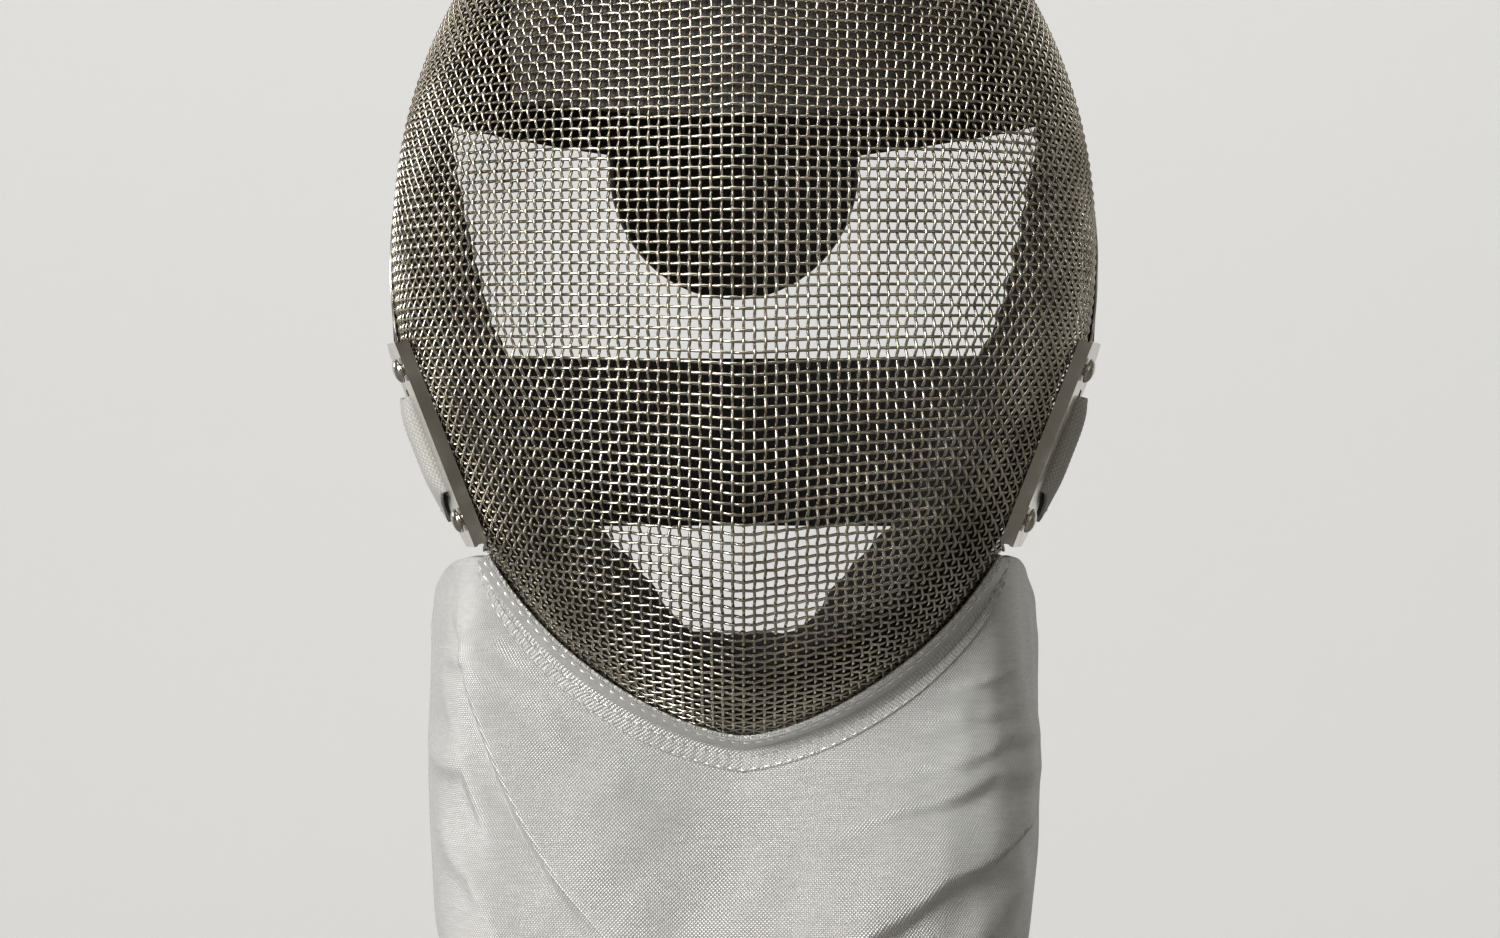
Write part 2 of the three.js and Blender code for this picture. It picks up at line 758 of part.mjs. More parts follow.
// A point of the bib's middle surface: it leaves the edge outwards and then hangs to the hem.
function bibPoint(across, drop) {
  const share = Math.min(1, Math.abs(across));
  const side = across < 0 ? -1 : 1;
  const turn = 180 - share * (180 - bibTopTurn);
  const at = (column) => smoothTable(bibStations, share, column);
  const start = edgePoint(turn, bibStart, 0);
  const ahead = edgePoint(turn, bibStart + 1, 0).sub(start).normalize();
  const { normal } = domeAt(start.clone().sub(domeMiddle).normalize());
  const first = start.clone().addScaledVector(normal, at("out")).addScaledVector(ahead, at("back"));
  first.z -= at("down");
  const hem = new THREE.Vector3(at("hemX"), at("hemY"), at("hemZ"));
  const second = hem.clone();
  second.z += at("hang");
  const curve = new THREE.CubicBezierCurve3(start, first, second, hem);
  const p = curve.getPoint(drop);
  p.x = p.x * side + bibShift * THREE.MathUtils.smoothstep(drop, 0, 0.5);
  return p;
}

function bib() {
  const rows = spread(0, 1, 15);
  const columns = spread(-1, 1, 43);
  const middle = rows.map((drop) => columns.map((across) => bibPoint(across, drop)));
  const normalAt = (i, j) => {
    const left = middle[i][Math.max(0, j - 1)];
    const right = middle[i][Math.min(columns.length - 1, j + 1)];
    const above = middle[Math.max(0, i - 1)][j];
    const below = middle[Math.min(rows.length - 1, i + 1)][j];
    return right.clone().sub(left).cross(below.clone().sub(above)).normalize().negate();
  };
  const grid = (rise) =>
    rows.map((drop, i) =>
      columns.map((across, j) => middle[i][j].clone().addScaledVector(normalAt(i, j), rise + foldAt(across, drop))),
    );
  return wallBetween(grid(bibWall / 2), grid(-bibWall / 2));
}

const steelWire = material("#b5afa1", 0.35, 1);
const polishedSteel = material("#cfccc6", 0.2, 1);
const blackCloth = material("#14120f", 0.9, 0);
const greyFelt = material("#5b574e", 0.95, 0);
const blackElastic = material("#191714", 0.85, 0);
const greyElastic = material("#a3a098", 0.8, 0);
const metallicCloth = material("#bdbbb5", 0.5, 0.4);

const mask = new THREE.Group();
mask.add(piece("wire_mesh", wireFace(), steelWire));
mask.add(piece("rim_channel", rimChannel(), polishedSteel));
mask.add(piece("edge_piping", edgePiping(), blackCloth.clone()));
mask.add(piece("forehead_pad", foreheadPad(), greyFelt));
mask.add(piece("face_pad", facePad(), blackCloth));
mask.add(piece("tongue", tongue(), blackCloth.clone()));
mask.add(piece("back_strap", backStrap(), blackElastic));
mask.add(piece("bib", bib(), metallicCloth));
mask.add(piece("bib_binding", bibBinding(), metallicCloth.clone()));

for (const [name, side] of [
  ["left", -1],
  ["right", 1],
]) {
  const frame = bracketFrame(side);
  const group = placeIn(frame, new THREE.Group());
  group.add(piece(`bracket_${name}`, bracketPlate(frame.length, frame.slant), polishedSteel.clone()));
  const loop = piece(`strap_loop_${name}`, strapLoop(), greyElastic.clone());
  loop.position.y = frame.slant * (plateWidth - slotBack);
  group.add(loop);
  for (const [level, end] of [
    ["upper", 1],
    ["lower", -1],
  ]) {
    const head = piece(`rivet_${name}_${level}`, rivet(), polishedSteel.clone());
    const along = frame.out.clone().cross(frame.across).z > 0 ? 1 : -1;
    const place = along * end * (frame.length / 2 - rivetEnd) + frame.slant * rivetSet;
    head.position.set(rivetSet, place, plateStandOff + plateWall);
    group.add(head);
  }
  mask.add(group);
}

export default mask;
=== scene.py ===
import bpy
import math
import numpy as np
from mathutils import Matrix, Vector


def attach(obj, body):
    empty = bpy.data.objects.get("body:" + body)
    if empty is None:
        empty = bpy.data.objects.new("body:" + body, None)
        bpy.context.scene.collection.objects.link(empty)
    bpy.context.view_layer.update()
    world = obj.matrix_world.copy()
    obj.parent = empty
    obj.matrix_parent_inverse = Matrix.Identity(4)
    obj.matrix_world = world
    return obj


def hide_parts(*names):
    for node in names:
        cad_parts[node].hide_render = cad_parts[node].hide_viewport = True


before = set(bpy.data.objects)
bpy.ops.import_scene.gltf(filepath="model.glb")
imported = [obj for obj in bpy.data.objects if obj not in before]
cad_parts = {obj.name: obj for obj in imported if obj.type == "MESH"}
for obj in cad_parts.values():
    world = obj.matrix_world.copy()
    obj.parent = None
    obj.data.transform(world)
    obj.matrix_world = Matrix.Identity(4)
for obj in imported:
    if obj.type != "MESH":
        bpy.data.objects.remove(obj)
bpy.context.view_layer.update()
print("frame loaded with", len(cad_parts), "nodes")

mm = 0.001
degree = math.pi / 180

# Shape of the dome, in millimetres. Each level is an ellipse about the upright line through the origin.
dome = {
    "halfWidth": 109.0, "widestZ": -120.5, "widestToCrown": 134.0, "widestToChin": 153.0,
    "foreDepth": 105.5, "foremostZ": -150.0, "foremostToCrown": 163.5, "foremostToChin": 127.0,
    "cheekHollow": 3.5, "cheekZ": -185.0, "cheekSpread": 25.0, "centreZ": -135.0,
    "keelHeight": 4.5, "keelSpread": 22.0, "keelRadius": 4.0, "keelChinGain": 0.6,
    "wall": 2.0, "gap": 0.4,
}
# back edge of the wire seen from the side: height and depth
edgeLine = np.array([
    (10, 66), (-14, 61), (-40, 47), (-70, 30), (-120, 11), (-146, 2),
    (-160, -17), (-185, -27), (-214, -31), (-240, -33), (-262, -33), (-280, -25),
], float)
domeMiddle = np.array([0.0, 0.0, dome["centreZ"]])


def smoothstep(x, low, high):
    t = np.clip((x - low) / (high - low), 0, 1)
    return t * t * (3 - 2 * t)


def fromTable(rows, at, column=1):  # smooth curve through the rows of a table
    rows = rows if rows[0, 0] < rows[-1, 0] else rows[::-1]
    keys, values = rows[:, 0], rows[:, column]
    index = np.arange(len(keys))
    after, before = np.minimum(index + 1, len(keys) - 1), np.maximum(index - 1, 0)
    slopes = (values[after] - values[before]) / (keys[after] - keys[before])
    low = np.clip(np.searchsorted(keys, at) - 1, 0, len(keys) - 2)
    span = keys[low + 1] - keys[low]
    t = np.clip((at - keys[low]) / span, 0, 1)
    ends = values[low] * (1 - t) ** 2 * (1 + 2 * t) + values[low + 1] * t * t * (3 - 2 * t)
    return ends + span * t * (1 - t) * (slopes[low] * (1 - t) - slopes[low + 1] * t)


def roundShare(rise, above, below):
    share = np.where(rise > 0, rise / above, -rise / below)
    return np.sqrt(np.maximum(0, 1 - share ** 2))


def halfWidthAt(z):
    hollow = dome["cheekHollow"] * np.exp(-((z - dome["cheekZ"]) / dome["cheekSpread"]) ** 2)
    share = roundShare(z - dome["widestZ"], dome["widestToCrown"], dome["widestToChin"])
    return dome["halfWidth"] * share - hollow


def depthShareAt(z):
    return roundShare(z - dome["foremostZ"], dome["foremostToCrown"], dome["foremostToChin"])


def keelAt(x, z):
    below = np.clip((dome["foremostZ"] - z) / dome["foremostToChin"], 0, 1)
    height = dome["keelHeight"] * depthShareAt(z) * (1 + dome["keelChinGain"] * below)
    return height * np.exp(-(np.hypot(x, dome["keelRadius"]) - dome["keelRadius"]) / dome["keelSpread"])


def insideDome(p):
    x, y, z = p[..., 0], p[..., 1], p[..., 2]
    width = np.maximum(halfWidthAt(z), 1e-6)
    depth = dome["foreDepth"] * depthShareAt(z) * np.sqrt(np.clip(1 - (x / width) ** 2, 0, None))
    reach = np.where(y > 0, y, -y - keelAt(x, z))
    return (np.abs(x) < width) & (reach < depth)


def domePoint(aim):  # where rays from the middle of the dome meet it
    near = np.full(aim.shape[:-1], 20.0)
    far = np.full(aim.shape[:-1], 200.0)
    for _ in range(34):
        middle = (near + far) / 2
        inside = insideDome(domeMiddle + aim * middle[..., None])
        near = np.where(inside, middle, near)
        far = np.where(inside, far, middle)
    return domeMiddle + aim * near[..., None]


def unit(v):
    return v / np.maximum(np.linalg.norm(v, axis=-1, keepdims=True), 1e-12)


def domeAt(aim):  # point and outward normal
    side = unit(np.cross(np.array([0.3, 0.5, 0.8]), aim)) * 0.004
    up = np.cross(aim, side)
    across = domePoint(unit(aim + side)) - domePoint(unit(aim - side))
    along = domePoint(unit(aim + up)) - domePoint(unit(aim - up))
    normal = unit(np.cross(across, along))
    normal *= np.where(np.sum(normal * aim, axis=-1) < 0, -1, 1)[..., None]
    return domePoint(aim), normal


def domeOffset(aim, rise):
    point, normal = domeAt(aim)
    return point + normal * np.asarray(rise)[..., None]


def aimAt(turn, lean):
    t = np.asarray(turn) * degree
    return np.stack([np.sin(lean) * np.sin(t), -np.cos(lean) + 0 * t, np.sin(lean) * np.cos(t)], axis=-1)


def edgeLean(turn):
    near = np.full(np.shape(turn), 20 * degree)
    far = np.full(np.shape(turn), 170 * degree)
    for _ in range(36):
        middle = (near + far) / 2
        p = domePoint(aimAt(turn, middle))
        inner = p[..., 1] < fromTable(edgeLine, p[..., 2])
        near = np.where(inner, middle, near)
        far = np.where(inner, far, middle)
    return near


def edgePoint(turn, run, rise):  # by run past the edge along the dome and rise above it
    turn = np.asarray(turn, float)
    lean = edgeLean(turn)
    step = 0.01
    ahead = domePoint(aimAt(turn, lean + step)) - domePoint(aimAt(turn, lean - step))
    stretch = np.linalg.norm(ahead, axis=-1)
    return domeOffset(aimAt(turn, lean + run * 2 * step / stretch), rise + 0 * turn)


# Meshes from grids of points, all in millimetres until here

def addPiece(name, points, faces, slotName, replaced=(), uv=None, sharp=40):
    points = np.asarray(points, float)
    volume = 0.0
    for face in (f for f in faces if len(f)):
        face = np.asarray(face)
        for k in range(1, face.shape[1] - 1):
            a, b, c = points[face[:, 0]], points[face[:, k]], points[face[:, k + 1]]
            volume += np.sum(a * np.cross(b, c))
    lists = [f[::-1] if volume < 0 else f for group in faces for f in np.asarray(group).tolist()]
    mesh = bpy.data.meshes.new(name)
    mesh.from_pydata((points * mm).tolist(), [], lists)
    mesh.shade_smooth()
    mesh.set_sharp_from_angle(angle=sharp * degree)
    if uv is not None:
        layer = mesh.uv_layers.new(name="cloth")
        corners = np.empty(len(mesh.loops), dtype=np.int32)
        mesh.loops.foreach_get("vertex_index", corners)
        layer.data.foreach_set("uv", (np.asarray(uv)[corners] * mm).ravel())
    piece = bpy.data.objects.new(name, mesh)
    bpy.context.scene.collection.objects.link(piece)
    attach(piece, "root")
    if replaced:
        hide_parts(*replaced)
    return piece


def gridFaces(rows, columns, start=0, closed=False):
    i = np.arange(rows - 1)[:, None]
    j = np.arange(columns if closed else columns - 1)[None, :]
    k = (j + 1) % columns
    return (start + np.stack([i * columns + j, i * columns + k, (i + 1) * columns + k, (i + 1) * columns + j],
                             axis=-1)).reshape(-1, 4)


def gridLengths(grid):  # lengths along both ways of a grid, for the cloth's own coordinates
    rows, columns = grid.shape[:2]
    across = np.linalg.norm(np.diff(grid, axis=1), axis=-1)
    down = np.linalg.norm(np.diff(grid, axis=0), axis=-1)
    u = np.concatenate([np.zeros((rows, 1)), np.cumsum(across, axis=1)], axis=1)
    u -= u[:, columns // 2][:, None]
    v = np.concatenate([np.zeros((1, columns)), np.cumsum(down, axis=0)], axis=0)
    return np.stack([u, v], axis=-1)


def wallPiece(name, outer, inner, slotName, replaced=(), sharp=40, lengths=None):
    rows, columns = outer.shape[:2]
    back = rows * columns
    front = gridFaces(rows, columns)
    border = np.concatenate([
        np.arange(columns - 1), np.arange(rows - 1) * columns + columns - 1,
        (rows - 1) * columns + np.arange(columns - 1, 0, -1), np.arange(rows - 1, 0, -1) * columns])
    after = np.roll(border, -1)
    rim = np.stack([after, border, back + border, back + after], axis=-1)
    uv = (gridLengths(outer) if lengths is None else lengths).reshape(-1, 2)
    points = np.concatenate([outer.reshape(-1, 3), inner.reshape(-1, 3)])
    faces = [front, back + front[:, ::-1], rim]
    return addPiece(name, points, faces, slotName, replaced, np.concatenate([uv, uv]), sharp)


def sweepPiece(name, sections, slotName, replaced=(), sharp=40):
    rows, columns = sections.shape[:2]
    faces = [gridFaces(rows, columns, closed=True)]
    faces.append(np.arange(columns)[None, ::-1])
    faces.append(((rows - 1) * columns + np.arange(columns))[None, :])
    uv = gridLengths(sections).reshape(-1, 2)
    return addPiece(name, sections.reshape(-1, 3), faces, slotName, replaced, uv, sharp)


def alongEdge(name, turns, profile, slotName, replaced=(), sharp=40):
    sections = np.stack([edgePoint(turns, run, rise) for run, rise in profile], axis=1)
    return sweepPiece(name, sections, slotName, replaced, sharp)


def roundedProfile(corners, radius, steps=3):  # closed outline with its corners rounded
    corners = np.asarray(corners, float)
    outline = []
    for k, corner in enumerate(corners):
        before = unit(corners[k - 1] - corner) * radius
        after = unit(corners[(k + 1) % len(corners)] - corner) * radius
        for t in np.linspace(0, 1, steps):
            outline.append(corner + before * (1 - t) ** 2 + after * t ** 2)
    return np.array(outline)


def curveBetween(p0, p1, p2, p3, t):  # smooth from p1 to p2, with p0 and p3 beyond them
    return 0.5 * (2 * p1 + (p2 - p0) * t + (2 * p0 - 5 * p1 + 4 * p2 - p3) * t ** 2
                  + (3 * p1 - p0 - 3 * p2 + p3) * t ** 3)


def smoothLoop(points, per=4):  # closed curve through points
    points = np.asarray(points, float)
    p0, p1, p2, p3 = (np.roll(points, s, axis=0) for s in (1, 0, -1, -2))
    t = np.linspace(0, 1, per, endpoint=False)[None, :, None]
    p0, p1, p2, p3 = (p[:, None, :] for p in (p0, p1, p2, p3))
    return curveBetween(p0, p1, p2, p3, t).reshape(-1, points.shape[1])


def openCurve(points, per):  # curve through rows of points, from the first to the last
    padded = np.concatenate([2 * points[:1] - points[1:2], points, 2 * points[-1:] - points[-2:-1]])
    curve = []
    for k in range(len(points) - 1):
        curve += [curveBetween(*padded[k:k + 4], t) for t in np.linspace(0, 1, per, endpoint=False)]
    return np.array(curve + [points[-1]])


# Woven wire face

wire = {
    "pitch": 3.1, "radius": 0.5, "sides": 5,
    "warpCrimp": 0.62, "weftCrimp": 0.36,   # how far each wire bends over and under
    "startZ": -165.0, "rowRise": 0.025,     # the first row, and how it climbs to the sides
    "warpSteps": 3, "weftSteps": 2,
    "reachPast": 45.0,
}


def insideAt(x, y, z):  # the dome's test for one point, without the ridge
    rise = z - dome["widestZ"]
    share = rise / dome["widestToCrown"] if rise > 0 else -rise / dome["widestToChin"]
    hollow = dome["cheekHollow"] * math.exp(-((z - dome["cheekZ"]) / dome["cheekSpread"]) ** 2)
    width = dome["halfWidth"] * math.sqrt(max(0.0, 1 - share * share)) - hollow
    if abs(x) >= width:
        return False
    rise = z - dome["foremostZ"]
    deep = rise / dome["foremostToCrown"] if rise > 0 else -rise / dome["foremostToChin"]
    deep = math.sqrt(max(0.0, 1 - deep * deep))
    return abs(y) < dome["foreDepth"] * deep * math.sqrt(1 - (x / width) ** 2)


def ontoDome(p):  # along the ray from the dome's middle
    ray = p - Vector(domeMiddle)
    near, far = 0.8, 1.2
    for _ in range(18):
        share = (near + far) / 2
        q = Vector(domeMiddle) + ray * share
        if insideAt(*q):
            near = share
        else:
            far = share
    return Vector(domeMiddle) + ray * near


def pastEdge(p):  # how far a point lies behind the edge
    return p.y - float(fromTable(edgeLine, np.array(p.z)))


def netCorner(a, b, c):  # fourth corner of a mesh opening, one pitch from its two neighbours
    pitch = wire["pitch"]
    span = b - a
    wide = span.length
    straight = a + b - c
    trust = float(smoothstep(wide / pitch, 0.55, 0.95) * (1 - smoothstep(wide / pitch, 1.8, 1.95)))
    if trust > 0:
        e = span.normalized()
        middle = (a + b) / 2
        onward = middle - c
        onward = (onward - e * onward.dot(e)).normalized()
        out = e.cross(onward)
        if out.dot(middle - Vector(domeMiddle)) < 0:
            out = -out
        reach = math.sqrt(max(0.0, pitch ** 2 - wide ** 2 / 4))
        low, high = -1.0, 1.0
        for _ in range(16):
            angle = (low + high) / 2
            q = middle + (onward * math.cos(angle) + out * math.sin(angle)) * reach
            if insideAt(*q):
                low = angle
            else:
                high = angle
        straight = straight.lerp(q, trust)
    return ontoDome(straight)


def stepAlong(start, heading, rule):  # next node on a leading wire, one pitch on
    q = start + heading * wire["pitch"]
    for _ in range(6):
        q = ontoDome(rule(q))
        q = start + (q - start).normalized() * wire["pitch"]
    return ontoDome(rule(q))


def leadingWire(start, heading, rule, most):
    nodes = [start]
    while len(nodes) < most and pastEdge(nodes[-1]) < wire["reachPast"]:
        nodes.append(stepAlong(nodes[-1], heading, rule))
        heading = (nodes[-1] - nodes[-2]).normalized()
    return nodes


def onRidge(q):
    return Vector((0, q.y, q.z))


def onFirstRow(q):
    return Vector((q.x, q.y, wire["startZ"] + wire["rowRise"] * abs(q.x)))


def wireNet():  # nodes by column and row, for columns from the ridge to one side
    start = Vector((0, -dome["foreDepth"], wire["startZ"]))
    for _ in range(8):
        start = ontoDome(Vector((0, start.y, wire["startZ"])))
    net = {}
    for k, p in enumerate(leadingWire(start, Vector((1, 0, 0)), onFirstRow, 90)):
        net[k, 0] = p
    for sign in (1, -1):
        for k, p in enumerate(leadingWire(start, Vector((0, 0, sign)), onRidge, 130)):
            net[0, sign * k] = p
        row = sign
        while (0, row) in net:
            column = 1
            while True:
                a = net.get((column - 1, row))
                b = net.get((column, row - sign))
                c = net.get((column - 1, row - sign))
                if a is None or b is None or c is None:
                    break
                if pastEdge(a) > wire["reachPast"] and pastEdge(b) > wire["reachPast"]:
                    break
                net[column, row] = netCorner(a, b, c)
                column += 1
            row += sign
    return net


def wireRuns(net, upright):  # rows of node keys along each wire, cut at the edge
    keep = {key for key, p in net.items() if pastEdge(p) < 0}
    lines = {}
    for key in sorted(keep):
        lines.setdefault(key[0] if upright else key[1], []).append(key)
    runs = []
    for keys in lines.values():
        keys.sort(key=lambda key: key[1] if upright else key[0])
        run = [keys[0]]
        for key in keys[1:]:
            if abs(key[0] - run[-1][0]) + abs(key[1] - run[-1][1]) == 1:
                run.append(key)
            else:
                runs.append(run)
                run = [key]
        runs.append(run)
    return [run for run in runs if len(run) > 2]


def wireTubes(runs, place, outward, crimp, steps, over):
    points, faces, caps, first = [], [], [], 0
    around = np.arange(wire["sides"]) * 2 * math.pi / wire["sides"]
    for run in runs:
        p = np.array([place[key] for key in run])
        n = np.array([outward[key] for key in run])
        sign = np.array([1 if (key[0] + key[1]) % 2 == over else -1 for key in run])
        padded = np.concatenate([[2 * p[0] - p[1]], p, [2 * p[-1] - p[-2]]])
        p0, p1, p2, p3 = (padded[k:len(p) - 1 + k, None, :] for k in range(4))
        t = np.linspace(0, 1, steps, endpoint=False)[None, :, None]
        line = curveBetween(p0, p1, p2, p3, t)
        up = unit(n[:-1, None] * (1 - t) + n[1:, None] * t)
        lift = crimp * sign[:-1, None, None] * np.cos(math.pi * t)
        line = np.concatenate([(line + up * lift).reshape(-1, 3), [p[-1] + n[-1] * crimp * sign[-1]]])
        up = np.concatenate([up.reshape(-1, 3), [n[-1]]])
        ahead = unit(np.gradient(line, axis=0))
        side = unit(np.cross(ahead, up))
        up = np.cross(side, ahead)
        ring = side[:, None] * np.cos(around)[None, :, None] + up[:, None] * np.sin(around)[None, :, None]
        points.append((line[:, None] + ring * wire["radius"]).reshape(-1, 3))
        faces.append(gridFaces(len(line), wire["sides"], first, closed=True))
        last = first + (len(line) - 1) * wire["sides"]
        caps.append(first + np.arange(wire["sides"])[::-1])
        caps.append(last + np.arange(wire["sides"]))
        first = last + wire["sides"]
    return np.concatenate(points), [np.concatenate(faces), np.array(caps)]


def makeWires():
    half = wireNet()
    net = dict(half)
    for (column, row), p in half.items():
        net[-column, row] = Vector((-p.x, p.y, p.z))
    keys = list(net)
    aims = unit(np.array([net[key] for key in keys]) - domeMiddle)
    points, normals = domeAt(aims)
    place = dict(zip(keys, points))
    outward = dict(zip(keys, normals))
    pieces = []
    columns = wireRuns(net, True)
    rows = wireRuns(net, False)
    for name, chosen in (("warp_wires_left", [r for r in columns if r[0][0] < 0]),
                         ("warp_wires_right", [r for r in columns if r[0][0] >= 0])):
        body = wireTubes(chosen, place, outward, wire["warpCrimp"], wire["warpSteps"], 0)
        pieces.append(addPiece(name, *body, "steel_wire", ["wire_mesh"], sharp=80))
    for name, chosen in (("weft_wires_lower", [r for r in rows if r[0][1] < 0]),
                         ("weft_wires_upper", [r for r in rows if r[0][1] >= 0])):
        body = wireTubes(chosen, place, outward, wire["weftCrimp"], wire["weftSteps"], 1)
        pieces.append(addPiece(name, *body, "steel_wire", ["wire_mesh"], sharp=80))
    print("wires woven:", len(columns), "upright and", len(rows), "level")
    return pieces


# Metal edging and the piping behind it

edging = {"turn": 100, "reach": 5.5, "wall": 0.9, "pipingRadius": 2.3, "pipingRise": 0.9, "step": 1.0}


def channelProfile(reach, wall):
    near = dome["wall"] / 2 + dome["gap"]
    far = near + wall
    end = dome["gap"] + wall
    return [(-reach, near), (-reach, far), (end, far), (end, -far), (-reach, -far), (-reach, -near),
            (dome["gap"], -near), (dome["gap"], near)]


def turnsBetween(low, high, step):
    return np.linspace(low, high, int(round((high - low) / step)) + 1)


def makeEdging():
    turns = turnsBetween(-edging["turn"], edging["turn"], edging["step"])
    profile = roundedProfile(channelProfile(edging["reach"], edging["wall"]), 0.4)
    rim = alongEdge("rim_edging", turns, profile, "polished_steel", ["rim_channel"], 50)
    run = 2 * dome["gap"] + edging["wall"] + edging["pipingRadius"]
    around = np.linspace(0, 2 * math.pi, 13)[:-1]
    ring = np.stack([run + edging["pipingRadius"] * np.cos(around),
                     edging["pipingRise"] + edging["pipingRadius"] * np.sin(around)], axis=-1)
    piping = alongEdge("rim_piping", turns, ring, "black_cloth", ["edge_piping"], 80)
    return rim, piping


# Padding: ring inside the edge, felt over the forehead, and the rear tongue

pads = {
    "turn": 35, "setBack": 1.0, "slack": 0.6, "thinnest": 2.5,
    # turn from the crown, how far it stands in, how far it runs forwards
    "ring": np.array([(35, 11, 48), (45, 12, 66), (61, 11.5, 60), (73, 19.5, 42), (92, 27, 27),
                      (106, 28.5, 25), (122, 29, 27), (134, 30, 28), (147, 33, 29), (158, 31.5, 29),
                      (167, 25.5, 29), (173, 28, 29), (180, 32, 29)], float),
    "section": np.array([(0, 0.72), (0.14, 0.94), (0.32, 1), (0.55, 0.88), (0.8, 0.6), (1, 0.3)]),
    "browTilt": 26.5, "browRise": 12.0, "backTilt": 101.0, "browHalf": 39.0, "crownHalf": 31.0,
    "feltGap": 1.7, "columns": 26, "rows": 41, "wave": 0.5, "edgeRound": 0.8,
    "tongueInset": 1.9, "tongueWall": 5.0, "tongueDrop": 3.0, "tongueHalf": 42.0, "tongueTip": -134.0,
    "tongueShift": -3.5, "yokeInner": -86.0, "yokeOuter": -80.0, "yokeHalf": 98.0,
}


def makeRingPad():
    face = dome["wall"] / 2 + 2 * dome["gap"] + edging["wall"] + pads["slack"]
    turns = turnsBetween(pads["turn"], 360 - pads["turn"], 2.0)
    folded = np.where(turns > 180, 360 - turns, turns)
    reach = fromTable(pads["ring"], folded, 1)
    run = fromTable(pads["ring"], folded, 2)
    columns = []
    for share in np.linspace(0, 1, 6):
        columns.append(edgePoint(turns, -pads["setBack"] - share * run, -face + 0 * turns))
    for share in np.linspace(1, 0, 15):
        height = np.maximum(face + pads["thinnest"], fromTable(pads["section"], share) * reach)
        height += pads["wave"] * np.sin(turns * 0.9 + 6 * share) * math.sin(math.pi * share)
        columns.append(edgePoint(turns, -pads["setBack"] - share * run, -height))
    pad = sweepPiece("ring_pad", np.stack(columns, axis=1), "black_cloth", ["face_pad"], 60)
    return pad


def makeForeheadPad():
    side = np.linspace(-1, 1, 61)[None, :]
    along = np.linspace(0, 1, 61)[:, None]
    low = pads["browTilt"] + pads["browRise"] * side ** 2
    tilt = (low + (pads["backTilt"] - 6 * side ** 2 - low) * along) * degree
    turn = side * (pads["browHalf"] + (pads["crownHalf"] - pads["browHalf"]) * along) * degree
    aim = np.stack([np.sin(turn), -np.cos(turn) * np.cos(tilt), np.cos(turn) * np.sin(tilt)], axis=-1)
    outline = np.maximum(np.abs(side) + 0 * along, np.abs(along * 2 - 1) + 0 * side) ** 6
    near = dome["wall"] / 2 + pads["feltGap"]
    full = dome["widestZ"] + dome["widestToCrown"] - near
    outer = domeOffset(aim, -near + 0 * outline)
    inner = domeOffset(aim, -near - full * (1 - 0.7 * outline))
    pad = wallPiece("felt_forehead_pad", outer, inner, "grey_felt", ["forehead_pad"], 70)
    return pad


def rearPoint(x, z, rise):
    share = np.maximum(0.0004, 1 - (x / halfWidthAt(z)) ** 2)
    y = dome["foreDepth"] * depthShareAt(z) * np.sqrt(share)
    return domeOffset(unit(np.stack([x, y, z - dome["centreZ"]], axis=-1)), rise + 0 * x)


def crownEdgeZ(x):
    low = np.full(np.shape(x), -100.0)
    high = np.full(np.shape(x), dome["widestZ"] + dome["widestToCrown"])
    for _ in range(40):
        z = (low + high) / 2
        width = np.maximum(halfWidthAt(z), 1.0)
        y = dome["foreDepth"] * depthShareAt(z) * np.sqrt(np.maximum(0, 1 - (x / width) ** 2))
        behind = (np.abs(x) < width) & (y > fromTable(edgeLine, z))
        low = np.where(behind, z, low)
        high = np.where(behind, high, z)
    return low


def makeTongue():
    half, far = pads["tongueHalf"], pads["yokeHalf"]
    inner = half * np.sin(np.linspace(0, math.pi / 2, pads["columns"]))
    outer = np.linspace(half + 0.6, far, pads["columns"])
    place = np.concatenate([-np.concatenate([inner, outer])[:0:-1], inner, outer])[None, :]
    away = np.abs(place)
    tip = pads["tongueTip"] + half - np.sqrt(np.maximum(0, half ** 2 - away ** 2))
    yoke = pads["yokeInner"] + (pads["yokeOuter"] - pads["yokeInner"]) * (away - half) / (far - half)
    foot = np.where(away <= half, tip, yoke)
    head = crownEdgeZ(place) - pads["tongueDrop"]
    along = np.linspace(0, 1, pads["rows"])[:, None]
    z = head + (foot - head) * along
    shift = pads["tongueShift"] * smoothstep(along, 0.1, 0.6)
    x = place + shift * (1 - smoothstep(away, 50, far))
    edge = np.maximum(np.abs(place / far) ** 30, along ** 30)
    rounded = pads["edgeRound"] * edge
    outside = rearPoint(x, z, -pads["tongueInset"] - rounded)
    inside = rearPoint(x, z, -pads["tongueInset"] - pads["tongueWall"] + rounded)
    tongue = wallPiece("rear_tongue", outside, inside, "black_cloth", ["tongue"], 60)
    return tongue


# Side brackets, rivets and the elastic

bracket = {
    "top": (100.5, -149.5), "foot": (75.5, -212.0), "width": 24.0, "wall": 1.2, "standOff": 5.6,
    "slotBack": 5.2, "rivetRadius": 3.9, "rivetDome": 2.1, "shank": 1.8, "rivetEnd": 9.0, "rivetSet": 8.0,
    "loopWidth": 32.0, "loopTail": 19.0, "rib": 1.6, "ribDepth": 0.16,
    "flareUp": 4.0, "flareDown": 6.0, "loopTaper": 0.5,
}
loopOutside = [(-2, 0), (-1.4, 2.4), (1, 4.2), (6, 4.4), (13, 3.2), (19, 1.7),
               (19, -1.7), (13, -2), (6, -2.3), (1, -2.3), (-1.4, -1.7)]
loopInside = [(-0.6, 0), (-0.3, 1.5), (1.4, 2.9), (6, 3.1), (12, 1.9), (16, 0.6),
              (16, -0.5), (12, -0.8), (6, -1), (0.6, -1), (-0.3, -0.7)]


